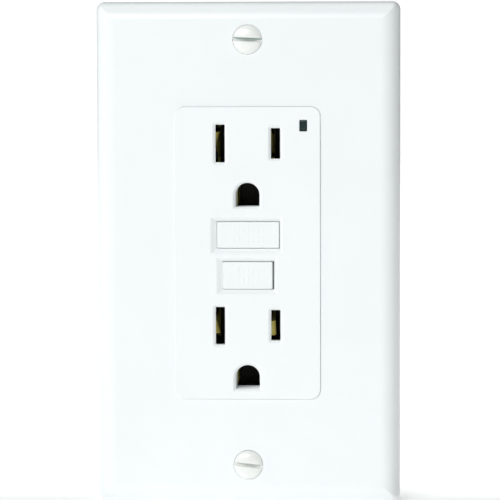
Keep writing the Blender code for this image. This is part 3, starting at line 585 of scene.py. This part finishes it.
def lead_in(width, depth):
    """Profile of an opening for a pin: flat face, sloping lead-in with softened ends, straight wall."""
    return [
        (width + 0.06 + SUPPORT, FACE_FRONT), (width + 0.06, FACE_FRONT),
        (width, FACE_FRONT + 0.03), (0.03, FACE_FRONT + depth),
        (0, FACE_FRONT + depth + 0.05),
    ]


def open_hole(skin, outline, profile, chimney, front, back):
    """A hole in the face with a lead-in, and the plastic chimney round it at the back."""
    mouth, end = skin.run(outline, profile)
    chimney_back, chimney_front = skin.run(chimney, [(0, CHIMNEY_BACK), (0, CEILING)])
    skin.fill(end, chimney_back)
    front.append(mouth)
    back.append(chimney_front)


def blade_slot(skin, centre, side, front, back):
    slot = rounded_rect(centre, (SLOT_HALF_WIDTH, SLOT_HALF_HEIGHT[side]), 0.12, steps=3)
    wall_end = FACE_FRONT + SLOT_CHAMFER_DEPTH + SLOT_WALL
    profile = [*lead_in(SLOT_CHAMFER, SLOT_CHAMFER_DEPTH), (0, wall_end),
               (SLOT_UNDERCUT, wall_end + 0.25), (SLOT_UNDERCUT, CHIMNEY_BACK)]
    open_hole(skin, slot, profile, rounded_rect(centre, (2.4, 5.3), 0.4, steps=3), front, back)


def ground_hole(skin, centre, front, back):
    hole = dee(centre, GROUND_RADIUS, GROUND_FLAT)
    profile = [*lead_in(GROUND_CHAMFER, GROUND_CHAMFER_DEPTH), (0, CHIMNEY_BACK)]
    chimney = rounded_rect((centre[0], centre[1] - 0.1), (3.7, 3.6), 0.5, steps=3)
    open_hole(skin, hole, profile, chimney, front, back)


def button_well(skin, name, front, back):
    """A tapered well with mitred corners, and the guide that the button slides in."""
    centre, half = button_place(name)
    trim = BUTTONS[name]
    hole_middle = centre + Vector(trim["hole"])
    hole_half = half + Vector((trim["wider"], 0)) + both(BUTTON_GAP)
    left, right, bottom, top = trim["slopes"]
    lean = Vector((right - left, top - bottom)) / 2
    margin = Vector((right + left, top + bottom)) / 2
    steps = [
        (1.0, 0.08 + SUPPORT, FACE_FRONT), (1.0, 0.08, FACE_FRONT), (1.0, 0.0, FACE_FRONT + 0.04),
        (0.03, 0.0, FACE_FRONT + WELL_DEPTH - 0.04), (0.0, 0.0, FACE_FRONT + WELL_DEPTH),
        (0.0, 0.0, FLANGE_FRONT - 0.3),
    ]
    loops = []
    for share, grow, y in steps:
        size = hole_half + margin * share + both(grow)
        loops.append(skin.loop(rounded_rect(hole_middle + lean * share, size, 0.12, steps=4)(), y))
    for first, second in zip(loops, loops[1:]):
        skin.band(first, second)
    guide = rounded_rect(centre, half + Vector((1.7, 1.5)), 0.4, steps=4)
    guide_end, guide_front = skin.run(guide, [(0, FLANGE_FRONT - 0.3), (0, CEILING)])
    skin.fill(loops[-1], guide_end)
    front.append(loops[0])
    back.append(guide_front)


def make_face():
    """The receptacle's face: every opening has its own lead-in, and every wall behind it is there too."""
    skin = Skin()
    outline = rounded_rect((0, 0), FACE_HALF, FACE_CORNER)
    edge = convex_edge(0, FACE_FRONT, 0.12)
    edge.append((edge[-1][0] - SUPPORT, FACE_FRONT))
    side_back, front_outer = skin.run(outline, [(0, FLANGE_FRONT), *edge])
    flange = rounded_rect((0, 0), front_of("face_cover")[1], 1.2)
    flange_front, flange_back = skin.run(flange, [(-0.2, FLANGE_FRONT), (0, FLANGE_FRONT + 0.2),
                                                  (0, FLANGE_BACK)])
    skin.band(side_back, flange_front)
    hollow = rounded_rect((0, 0), FACE_HALF - Vector((1.7, 1.0)), 1.0)
    ceiling_outer, hollow_back = skin.run(hollow, [(0, CEILING), (0, FLANGE_BACK)])
    front, back, rear = [front_outer], [ceiling_outer], [flange_back, hollow_back]
    for outlet, (z, drop) in enumerate(zip(OUTLET_Z, GROUND_DROP)):
        for side in (-1, 1):
            shift_x, shift_z = SLOT_SHIFT[side, outlet]
            blade_slot(skin, (side * BLADE_X + shift_x, z + shift_z), side, front, back)
        ground_hole(skin, (GROUND_SHIFT, z - drop), front, back)
    for name in ("reset_button", "test_button"):
        button_well(skin, name, front, back)
    lens_centre, lens_half = lens_place()
    window = rounded_rect(lens_centre, lens_half + both(0.12), 0.2, steps=3)
    window_loops = skin.run(window, [(0.1 + SUPPORT, FACE_FRONT), (0.1, FACE_FRONT),
                                     (0, FACE_FRONT + 0.1), (0, CEILING)])
    front.append(window_loops[0])
    back.append(window_loops[1])
    rear += [screw_post(skin, screw) for screw in HOUSING_SCREWS]
    for loops in (front, back, rear):
        skin.fill(*loops)
    settle(skin.finish("receptacle_face", crease=40), "housing", "face_nylon", "face_cover")


def screw_post(skin, screw):
    """A post behind the flange that a long housing screw turns into."""
    post = circle((screw.x, screw.z), 0, steps=24)
    root, floor = skin.run(post, [
        (1.85, FLANGE_BACK), (1.82, 6.8), (1.65, 7), (1.5, 7),
        (1.45, 6.8), (1.45, -0.5),
    ])
    skin.fill(floor)
    return root


def raised_rib(skin, centre, front):
    """A faint raised rib on a button: returns its footprint in the button's front plane."""
    outline = rounded_rect(centre, RIB_HALF, 0.1, steps=2)
    foot, top = skin.run(outline, [(RIB_SLOPE, front), (0, front - RIB_HEIGHT), (-0.02, front - RIB_HEIGHT)])
    skin.fill(top)
    return foot


def make_button(name, ribs, body, stem):
    """A button with softened edges and its lip, and rows of faint raised ribs."""
    centre, half = button_place(name)
    front = box(name)[0].y
    skin = Skin()
    key = rounded_rect(centre, half, 0.28, steps=5)
    lip = rounded_rect(centre, half + both(BUTTON_LIP), 0.3, steps=5)
    edge = convex_edge(0, front, 0.22, steps=4)
    side_back, face_outer = skin.run(key, [(0, FLANGE_FRONT), *edge, (edge[-1][0] - SUPPORT, front)])
    lip_front, lip_back = skin.run(lip, [(0, FLANGE_FRONT), (0, FLANGE_FRONT + 0.8)])
    skin.band(side_back, lip_front)
    skin.fill(face_outer, *[raised_rib(skin, centre + rib, front) for rib in ribs])
    back = box(name)[1].y
    stem_root, stem_end = skin.run(stem(centre), [(0, FLANGE_FRONT + 0.8), (0, back - 0.25), (-0.25, back)])
    skin.fill(lip_back, stem_root)
    skin.fill(stem_end)
    settle(skin.finish(f"{name}_key", crease=25), body, "button_nylon", name)


def rib_rows(count):
    """Places of two rows of ribs, from the middle of a button."""
    return [Vector(((i - (count - 1) / 2) * RIB_PITCH, row * 1.05)) for row in (-1, 1) for i in range(count)]


def make_buttons():
    make_button("reset_button", rib_rows(7), "reset", lambda at: circle(at, 2.2, steps=32))
    make_button("test_button", rib_rows(5), "test",
                lambda at: rounded_rect(at, (1.5, 0.7), 0.2, steps=3))


def make_lens():
    centre, half = lens_place()
    low, high = box("indicator_lens")
    lens = rounded_rect(centre, half, 0.2, steps=4)
    skin = Skin()
    dome = [(-0.16, low.y + 0.03), (-0.4, low.y + 0.005), (-0.6, low.y)]
    back, front = skin.run(lens, [(0, high.y), (0, low.y + 0.2), (-0.05, low.y + 0.09), *dome])
    skin.fill(back)
    skin.fill(front)
    settle(skin.finish("lamp_lens"), "housing", "smoked_lens", "indicator_lens")


# ---- screws

def interpolate(table, value):
    """Value of a table of (x, y) pairs at x, with straight lines between the pairs."""
    for (x0, y0), (x1, y1) in zip(table, table[1:]):
        if value <= x1:
            return y0 + (y1 - y0) * (value - x0) / (x1 - x0)
    return table[-1][1]


# Painted shadow: the top plate screw's slot gets a darker colour along its upper wall, in place of the shade
# that the wall casts on the slot's floor
SLOT_SHADOW_WIDTH = 0.26  # a dark line along the upper wall of a painted screw's slot


def slot_rows(radius, slot_half, soft, count=36):
    """Positions across a screw head, with how far each row lies under the dome or above the slot's floor."""
    rows = []
    for i in range(count + 1):
        across = -radius * math.cos(math.pi * i / count)
        if abs(across) > slot_half + 1.6 * soft:
            rows.append((across, "dome", 0.0))
    lip = [(slot_half + soft, "dome", 0.0), (slot_half + 0.3 * soft, "dome", 0.25 * soft),
           (slot_half, "dome", soft), (slot_half, "floor", soft),
           (slot_half - 0.3 * soft, "floor", 0.25 * soft),
           (slot_half - soft, "floor", 0.0), (slot_half - SLOT_SHADOW_WIDTH, "floor", 0.0)]
    rows += lip + [(-across, kind, step) for across, kind, step in lip]
    floor_first = {"dome": 0, "floor": 1}
    left = sorted((r for r in rows if r[0] < 0), key=lambda r: (r[0], floor_first[r[1]]))
    right = sorted((r for r in rows if r[0] >= 0), key=lambda r: (r[0], -floor_first[r[1]]))
    return left + right


def screw_head(bm, to_world, radius, dome, slot_half, floor, soft=0.09, along_count=26):
    """The domed, slotted top of a head as a height field. Returns the vertices of its rim in order."""
    grid = []
    rows = slot_rows(radius, slot_half, soft)
    for across, kind, step in rows:
        reach = math.sqrt(max(radius ** 2 - across ** 2, 0))
        row = []
        for j in range(along_count + 1):
            along = -reach * math.cos(math.pi * j / along_count)
            distance = min(math.hypot(across, along), radius)
            fade = min(1.0, (radius - distance) / 0.35)
            top = interpolate(dome, distance)
            sawn = floor[0] + (floor[1] - floor[0]) * (distance / radius) ** 2
            height = top - step * fade if kind == "dome" else min(sawn + step, top)
            row.append(bm.verts.new(to_world(across, along, height)))
        grid.append(row)
    for i, (first, second) in enumerate(zip(grid, grid[1:])):
        # faces of the slot's floor along its upper wall take the second material, a painted shadow
        in_painted_shadow = rows[i][1] == "floor" and rows[i][0] >= slot_half - SLOT_SHADOW_WIDTH - 1e-3
        for j in range(along_count):
            face = bm.faces.new((first[j], first[j + 1], second[j + 1], second[j]))
            face.material_index = int(in_painted_shadow)
    rim = [row[0] for row in grid] + [row[-1] for row in reversed(grid)]
    bmesh.ops.remove_doubles(bm, verts=bm.verts, dist=WELD)
    return list(dict.fromkeys(vert for vert in rim if vert.is_valid))


THREAD_PITCH, THREAD_DEPTH, TIP_LENGTH = 25.4 / 32, 0.3, 1.4


def threaded_rings(start, end, crest):
    """(radius function, height) along a thread that runs from start down to end, tapering at both ends."""
    rings = []
    count = max(int((start - end) / THREAD_PITCH * 8), 2)
    for i in range(count + 1):
        height = start + (end - start) * i / count
        fade = min(1.0, (start - height) / THREAD_PITCH, 0.25 + (height - end) / THREAD_PITCH)

        def radius(angle, height=height, fade=fade):
            phase = (height / THREAD_PITCH + angle / (2 * math.pi)) % 1
            ridge = max(0.0, 1 - abs(2 * phase - 1) * 1.35)
            return crest - THREAD_DEPTH + THREAD_DEPTH * ridge * fade
        rings.append((radius, height))
    return rings


# Heads: dome as (radius, height), slot, heights of the slot's floor at its middle and rim, and the profile
# underneath. Shank: height of its root, height of its end, radius over the thread
HEADS = {
    "painted": dict(
        dome=((0, 0.95), (0.6, 0.935), (1.2, 0.885), (1.8, 0.79), (2.3, 0.66), (2.7, 0.49), (3.0, 0.31),
              (3.2, 0.13), (3.3, 0.0)),
        slot_half=0.43, floor=(-0.6, -0.04), under=((3.27, -0.06), (3.1, -0.2), (1.75, -1.5), (1.55, -1.7)),
        shank=(-1.8, -11.0, 1.62)),
    "plated": dict(
        dome=((0, 1.75), (1.0, 1.73), (1.9, 1.66), (2.4, 1.52), (2.8, 1.25), (3.05, 0.95), (3.2, 0.6),
              (3.3, 0.1)),
        slot_half=0.5, floor=(0.75, 0.75), under=((3.3, 0.0), (1.75, 0.0), (1.55, -0.1)),
        shank=(-1.6, -22.0, 1.62)),
    "turned": dict(
        dome=((0, 2.0), (1.2, 1.97), (2.2, 1.88), (2.9, 1.62), (3.4, 1.2), (3.62, 0.8), (3.7, 0.35)),
        slot_half=0.55, floor=(0.85, 0.85), under=((3.7, 0.1), (3.6, 0.0), (2.1, 0.0), (1.95, -0.1)),
        shank=(-1.2, -4.6, 2.03)),
}


def make_screw(node, kind, at, axis, across, tilt, material, shadow_paint=None):
    """A screw with a domed slotted head, a thread cut as a helix, and a point."""
    head = HEADS[kind]
    root, end, crest = head["shank"]
    along = Matrix.Rotation(math.radians(tilt), 3, axis) @ across
    side = axis.cross(along)
    at = Vector(at) * MM

    def to_world(across, run, height):
        return at + (side * across + along * run + axis * height) * MM

    bm = bmesh.new()
    rim = screw_head(bm, to_world, head["dome"][-1][0], head["dome"], head["slot_half"], head["floor"])
    directions = []
    for vert in rim:
        offset = vert.co - at
        offset -= axis * offset.dot(axis)
        directions.append(offset.normalized())
    angles = [math.atan2(d.dot(side), d.dot(along)) for d in directions]
    rings = [(lambda angle, r=radius: r, height) for radius, height in head["under"]]
    rings += threaded_rings(root, end, crest)
    rings.append((lambda angle: 0.45 * crest, end - TIP_LENGTH))
    previous = rim
    for radius, height in rings:
        loop = [bm.verts.new(at + (d * radius(a) + axis * height) * MM) for d, a in zip(directions, angles)]
        bridge(bm, previous, loop)
        previous = loop
    point = bm.verts.new(at + axis * (end - TIP_LENGTH - 0.15) * MM)
    for i, vert in enumerate(previous):
        bm.faces.new((vert, previous[(i + 1) % len(previous)], point))
    piece = f"{node}_{kind}"
    screw = settle(new_piece(piece, mesh_from(bm, piece), crease=48), node, material, node)
    # the second material is the painted shadow in the slot, or the screw's own paint again
    screw.data.materials.append(MATERIALS[shadow_paint or material])


def make_screws():
    """Painted oval heads, plated box screws and the side terminals'. Each slot was left at its own angle."""
    # the top screw's slot has a painted shadow along its upper wall; the bottom screw's slot keeps the
    # screw's own paint there
    for suffix, tilt, shadow_paint in (("top", -3.0, "slot_painted_shadow"), ("bottom", -6.5, "screw_paint")):
        node = f"plate_screw_{suffix}"
        at = middle(node)
        make_screw(node, "painted", (at.x, PLATE_FRONT, at.z), -Y, X, tilt, "screw_paint", shadow_paint)
    for suffix, tilt in (("top", 35.0), ("bottom", -52.0)):
        node = f"mounting_screw_{suffix}"
        at = middle(node)
        make_screw(node, "plated", (at.x, FLANGE_BACK, at.z), -Y, X, tilt, "zinc_steel")
    for name, side in TERMINALS:
        node = f"{name}_screw"
        at = middle(node)
        material = "brass" if name.endswith("hot") else "zinc_steel"
        make_screw(node, "turned", (side * 21, at.y, at.z), side * X, Z, 20.0 * side, material)


# ---- brass clips

def bent_strip(bm, path, thickness):
    """Sheet metal bent along a path of (x, y, lowest z, highest z, lean), as one closed strip."""
    sides = []
    for i, (x, y, z0, z1, lean) in enumerate(path):
        before, after = path[max(i - 1, 0)], path[min(i + 1, len(path) - 1)]
        run = Vector((after[0] - before[0], after[1] - before[1])).normalized()
        off = Vector((-run.y, run.x)) * thickness / 2
        corners = [(x + lean + off.x, y + off.y, z0), (x - lean + off.x, y + off.y, z1),
                   (x - lean - off.x, y - off.y, z1), (x + lean - off.x, y - off.y, z0)]
        sides.append([bm.verts.new(Vector(corner) * MM) for corner in corners])
    for first, second in zip(sides, sides[1:]):
        bridge(bm, first, second)
    bm.faces.new(sides[0])
    bm.faces.new(sides[-1][::-1])


def smooth_path(points, steps=6):
    """Catmull-Rom curve through the points given."""
    padded = [points[0], *points, points[-1]]
    curve = []
    for a, b, c, d in zip(padded, padded[1:], padded[2:], padded[3:]):
        for i in range(steps):
            t = i / steps
            curve.append(tuple(
                q + 0.5 * t * (r - p + t * (2 * p - 5 * q + 4 * r - s + t * (3 * q - p - 3 * r + s)))
                for p, q, r, s in zip(a, b, c, d)))
    return curve + [points[-1]]


# Leaves of a contact: depths of the lead-in tongue behind the face, then places along Y of the rest,
# and how far the inner leaf and the outer leaf stand from the slot's middle at each
TONGUE_DEPTHS, LEAF_DEPTHS = (1.9, 2.8, 4.5), (3.4, 5.2, 7.0, 10.0, 12.2)
INNER_LEAF = (-1.1, -0.85, -0.7, -1.15, -1.3)
OUTER_LEAF = (1.35, 1.3, 1.25, 1.05, 0.76, 0.68, 1.15, 1.3)
LEAF_SHARES = (-0.5, -0.8, -1, -1, -1)
# Lead-in tongues, bent by hand, by side and outlet: (height above the slot's middle, half height, edge, lean)
TONGUES = {(-1, 0): (1.55, 1.0, -0.75, -0.4), (-1, 1): (-0.5, 1.47, -0.75, 0.45),
           (1, 0): (1.5, 1.0, -1.15, 0.0), (1, 1): (-0.8, 1.6, -0.35, 0.06)}
SPINE_HALF, POST_X = 1.55, 8.2
LEAF_HALF, LEAF_THICKNESS = 3.3, 0.34


def make_clips(node, side):
    """A bus with a pair of sprung leaves behind each blade slot, their lips flared to lead a blade in."""
    low, high = box(node)
    x = side * BLADE_X
    bm = bmesh.new()
    for outlet, z in enumerate(OUTLET_Z):
        rise, half, edge, lean = TONGUES[side, outlet]
        heights = [(z + rise - half, z + rise + half)] * 3
        heights += [(z + share * LEAF_HALF, z - share * LEAF_HALF) for share in LEAF_SHARES]
        places = [FACE_FRONT + depth for depth in TONGUE_DEPTHS] + list(LEAF_DEPTHS)
        straight = [0] * len(places)
        for offsets, leans in (((-1.3, edge, edge, *INNER_LEAF), [0, lean, lean] + straight[3:]),
                               (OUTER_LEAF, straight)):
            points = [(x + offset, y, *height, leaning)
                      for offset, y, height, leaning in zip(offsets, places, heights, leans)]
            bent_strip(bm, smooth_path(points), LEAF_THICKNESS)
    leaves = new_object("tool", mesh_from(bm, "tool"))
    spine = block((x - SPINE_HALF, 11.9, low.z), (x + SPINE_HALF, 12.5, high.z), 0.4)
    join(spine, leaves, slab(side * POST_X, -4, 1.2, 0.35, 11.95, high.y))
    cut(spine, *[slab(x, z, 0.85, 5, 11, 13) for z in OUTLET_Z])
    settle(as_piece(spine, f"{node}_clips", 35), "housing", "brass", node)


# ---- springs

# Wire and working turns of each spring
SPRINGS = {"reset_spring": (0.28, 4.5), "plunger_spring": (0.22, 3.5)}
CLOSED_TURNS = 0.75


def make_spring(node, along, fixed_end):
    """A coil spring with closed ends."""
    low, high = box(node)
    wire, working = SPRINGS[node]
    u, v = [i for i in range(3) if i != along]
    radius = (high[u] - low[u]) / 2 - wire
    turns = working + CLOSED_TURNS
    rise = [(0, low[along] + wire), (CLOSED_TURNS, low[along] + 3.2 * wire),
            (turns - CLOSED_TURNS, high[along] - 3.2 * wire), (turns, high[along] - wire)]
    bm = bmesh.new()
    rings = []
    count = int(turns * 28)
    for k in range(count + 1):
        turn = turns * k / count
        ring = []
        for side in range(8):
            out = radius + wire * math.cos(2 * math.pi * side / 8)
            point = (low + high) / 2
            point[u] += out * math.cos(2 * math.pi * turn)
            point[v] += out * math.sin(2 * math.pi * turn)
            point[along] = interpolate(rise, turn) + wire * math.sin(2 * math.pi * side / 8)
            ring.append(bm.verts.new(point * MM))
        rings.append(ring)
    for first, second in zip(rings, rings[1:]):
        bridge(bm, first, second)
    bm.faces.new(rings[0])
    bm.faces.new(rings[-1])
    piece = settle(new_piece(f"{node}_coil", mesh_from(bm, node)), "housing", "zinc_steel", node)
    anchor, axis = middle(node) * MM, Vector((0, 0, 0))
    anchor[along], axis[along] = fixed_end, 1
    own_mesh(piece)


def make_springs():
    """One for each node that the record says a joint deforms."""
    for joint in RECORD["behaviour"]["joints"]:
        for item in joint.get("deforming_nodes", []):
            letter = item["mode"][-1]
            make_spring(item["node"], "xyz".index(letter), item[f"fixed_end_{letter}_m"])


# ---- strap and rear housing

EAR_ROOT, EAR_CORNER = 34.6, 4
TAB_X, TAB_THICKNESS, TAB_HALF = -15.5, 1.2, 4.5
SCORE_X, SCORE_Z, SCORE_LENGTH, SCORE_DEPTH = 13.2, 44, 8, 0.25


def strap_openings():
    """Windows for the slots, buttons, lamp and housing screws, and the holes at the two ends."""
    def window(x, z, half_x, half_z, radius=0.4):
        return slab(x, z, half_x, half_z, -3, 2, radius)

    def hole(z, radius, steps=48):
        return rod((0, -3, z), (0, 2, z), radius, steps=steps)

    tools = []
    for z in OUTLET_Z:
        tools += [window(side * BLADE_X, z, 2.8, 5.7) for side in (-1, 1)]
        tools.append(window(0, z - GROUND_DROP[1] - 0.1, 4.6, 4.4))
        tools.append(hole(z - 1.6, 1.2, 32))
    tools.append(window(0, -0.4, 8.7, 9.0, 0.8))
    tools.append(window(*lens_place()[0], 1.3, 1.6))
    tools += [window(screw.x, screw.z, 2.8, 2.8, 0.6) for screw in HOUSING_SCREWS]
    for suffix in ("top", "bottom"):
        tools.append(window(0, middle(f"mounting_screw_{suffix}").z, 4.1, 2.1, 2.09))
        tools.append(hole(middle(f"plate_screw_{suffix}").z, SCREW_HOLE))
    return tools


def make_strap():
    """One zinc plated stamping: the long strap, its two ears with score lines, and the ground tab."""
    low, high = box("mounting_strap")
    strap = block((-15, low.y, -35.6), (15, 0, 35.6))
    ear_z, ear_half = (high.z + EAR_ROOT) / 2, (high.z - EAR_ROOT) / 2
    ears = [slab(0, side * ear_z, high.x, ear_half, low.y, 0, EAR_CORNER, segments=12) for side in (-1, 1)]
    screw, tab_back = middle("ground_screw"), TAB_X + TAB_THICKNESS
    tab = block((TAB_X, -0.6, screw.z - TAB_HALF), (tab_back, high.y, screw.z + TAB_HALF), 1.4, along=0)
    join(strap, *ears, tab)
    tools = strap_openings()
    tools.append(block((tab_back, -3, screw.z - 4), (tab_back + 4, 2, screw.z + 4), 0.4))
    tools.append(rod((TAB_X - 1, screw.y, screw.z), (TAB_X + 3, screw.y, screw.z), 2.35))
    for side, x, y in product((-1, 1), (-SCORE_X, SCORE_X), (low.y, 0)):
        tools.append(slab(x, side * SCORE_Z, 0.22, SCORE_LENGTH, y - SCORE_DEPTH, y + SCORE_DEPTH))
    cut(strap, *tools)
    piece = soften(as_piece(strap, "strap_stamping", 30), 0.14)
    settle(piece, "housing", "zinc_steel", "mounting_strap")


def terminal_windows(edge):
    """The side windows that the terminal screws and their clamps sit in."""
    return [slab(side * edge, middle(f"{name}_terminal").z, 3, 4.95, 4.6, 19.4, 0.7, along=0)
            for name, side in TERMINALS]


# Recesses in the back: the strip gauge and two label panels, as (z, half width, half height, depth, radius)
BACK_PANELS = ((-2.4, 6.5, 0.8, 0.5, 0.3), (8.5, 9.5, 6, 0.35, 1.2), (-15, 9.5, 7, 0.35, 1.2))


def back_details(back):
    """Wire holes with funnels, release slots and shallow recesses."""
    tools = []
    for side, row, offset in product((-1, 1), (15.5, -15.5), (-3.1, 3.1)):
        x, z = side * 17, row + offset
        tools.append(rod((x, 30, z), (x, back + 1, z), 1.35))
        tools.append(rod((x, back - 0.9, z), (x, back + 0.1, z), 1.3, end_radius=2.2))
        tools.append(slab(side * 13.2, z, 0.55, 1.5, back - 1.2, back + 1))
    for z, half_x, half_z, depth, radius in BACK_PANELS:
        tools.append(slab(0, z, half_x, half_z, back - depth, back + 1, radius))
    return tools


def make_rear_housing():
    """The deep housing behind the wall: shell, screw posts, terminal windows and wire entries."""
    low, high = box("rear_housing")
    shell = block(low, high, 2.5, segments=10)
    cut(shell, block(low + Vector((1.8, -2, 1.6)), high - Vector((1.8, 1.6, 1.6)), 1.2))
    posts, bores = [], []
    for x, _, z in HOUSING_SCREWS:
        posts += [rod((x, y, z), (x, high.y - 0.8, z), radius) for y, radius in ((7.4, 2.7), (27.5, 3.4))]
        bores += [rod((x, y, z), (x, high.y + 2, z), radius) for y, radius in ((6, 1.6), (29.5, 2.7))]
    join(shell, *posts)
    notches = [slab(0, side * high.z, 15.4, 2, -2, 0.3) for side in (-1, 1)]
    cut(shell, *bores, *notches, *terminal_windows(high.x), *back_details(high.y))
    piece = soften(as_piece(shell, "housing_shell", 30), 0.25, segments=3)
    settle(piece, "housing", "housing_plastic", "rear_housing")


# ---- CAD nodes that stay

def finish_cad_nodes():
    """Materials from the record's slots, and softened edges, on every CAD node that is still shown."""
    slots = {part["node"]: part["material_slot"] for part in RECORD["subparts"]}
    for name, obj in NODES.items():
        if obj.hide_render:
            continue
        obj.data.materials.clear()
        obj.data.materials.append(MATERIALS[slots[name]])
        weld = obj.modifiers.new("weld", "WELD")
        weld.merge_threshold = 0.002 * MM
        flat = obj.modifiers.new("flat", "DECIMATE")
        flat.decimate_type = "DISSOLVE"
        flat.angle_limit = math.radians(2)
        soften(obj, 0.1)


# ---- camera, light and floor

def make_camera():
    data = bpy.data.cameras.new("camera")
    data.lens = CAMERA_LENS
    data.sensor_width = SENSOR
    data.clip_start, data.clip_end = 0.01, 20
    camera = new_object("camera", data)
    camera.matrix_world = (
        Matrix.Translation(CAMERA_AT)
        @ Matrix.Rotation(math.radians(CAMERA_YAW), 4, "Z")
        @ Matrix.Rotation(math.radians(CAMERA_PITCH), 4, "X")
        @ Matrix.Rotation(math.radians(CAMERA_ROLL), 4, "Y")
        @ Matrix.Rotation(math.radians(90), 4, "X")
    )
    SCENE.camera = camera


def softbox(name, turn, elevation, size, power):
    """A rectangular softbox that faces the object."""
    turn, elevation = math.radians(turn), math.radians(elevation)
    direction = Vector((math.sin(turn) * math.cos(elevation), -math.cos(turn) * math.cos(elevation),
                        math.sin(elevation)))
    data = bpy.data.lights.new(name, "AREA")
    data.shape = "RECTANGLE"
    data.size, data.size_y = size
    data.energy = power
    data.color = LIGHT_COLOR
    light = new_object(name, data)
    light.location = direction * LIGHT_DISTANCE
    light.rotation_euler = direction.to_track_quat("Z", "Y").to_euler()


def make_light():
    """The softboxes and a dim surround. The backdrop itself is seen as white."""
    for box in SOFTBOXES:
        softbox(*box)
    world = bpy.data.worlds.new("surround")
    world.use_nodes = True
    tree = world.node_tree
    surround, output = tree.nodes["Background"], tree.nodes["World Output"]
    backdrop = tree.nodes.new("ShaderNodeBackground")
    path = tree.nodes.new("ShaderNodeLightPath")
    mix = tree.nodes.new("ShaderNodeMixShader")
    for socket, value in (
        (surround.inputs["Color"], (*SURROUND_COLOR, 1)), (surround.inputs["Strength"], SURROUND),
        (backdrop.inputs["Color"], (1, 1, 1, 1)), (backdrop.inputs["Strength"], BACKDROP),
        (mix.inputs["Fac"], path.outputs["Is Camera Ray"]), (mix.inputs[1], surround.outputs["Background"]),
        (mix.inputs[2], backdrop.outputs["Background"]), (output.inputs["Surface"], mix.outputs["Shader"]),
    ):
        set_socket(tree, socket, value)
    SCENE.world = world
    SCENE.view_settings.view_transform = "Standard"


def floor_paper():
    """White paper whose glow rises with the distance behind the plate."""
    paper = Shader("floor_paper", 0.9, Emission_Strength=1.0)
    paper.color(paper.ramp(paper.noise(60), (0.3, FLOOR_TONE[0]), (0.7, FLOOR_TONE[1])))
    apart = paper.node("SeparateXYZ", Vector=paper.coords)
    nearest = FLOOR_GLOW[0][0]
    span = paper.node("MapRange", From_Min=nearest, From_Max=FLOOR_REACH, Value=apart.outputs["Y"])
    stops = [((y - nearest) / (FLOOR_REACH - nearest), glow) for y, glow in FLOOR_GLOW]
    paper.set(paper.bsdf, Emission_Color=paper.ramp(span.outputs["Result"], *stops))
    return paper.material


def make_floor():
    """A pale floor under the object."""
    bm = bmesh.new()
    bmesh.ops.create_grid(bm, x_segments=1, y_segments=1, size=FLOOR_REACH)
    mesh = bpy.data.meshes.new("floor")
    bm.to_mesh(mesh)
    bm.free()
    floor = new_object("floor", mesh)
    floor.location.z = (PLATE_LOW.z - 0.02) * MM
    mesh.materials.append(floor_paper())


make_camera()
make_light()
make_floor()
make_wall_plate()
make_face()
make_buttons()
make_lens()
make_screws()
make_clips("neutral_bus", -1)
make_clips("hot_bus", 1)
make_strap()
make_rear_housing()
make_springs()
finish_cad_nodes()
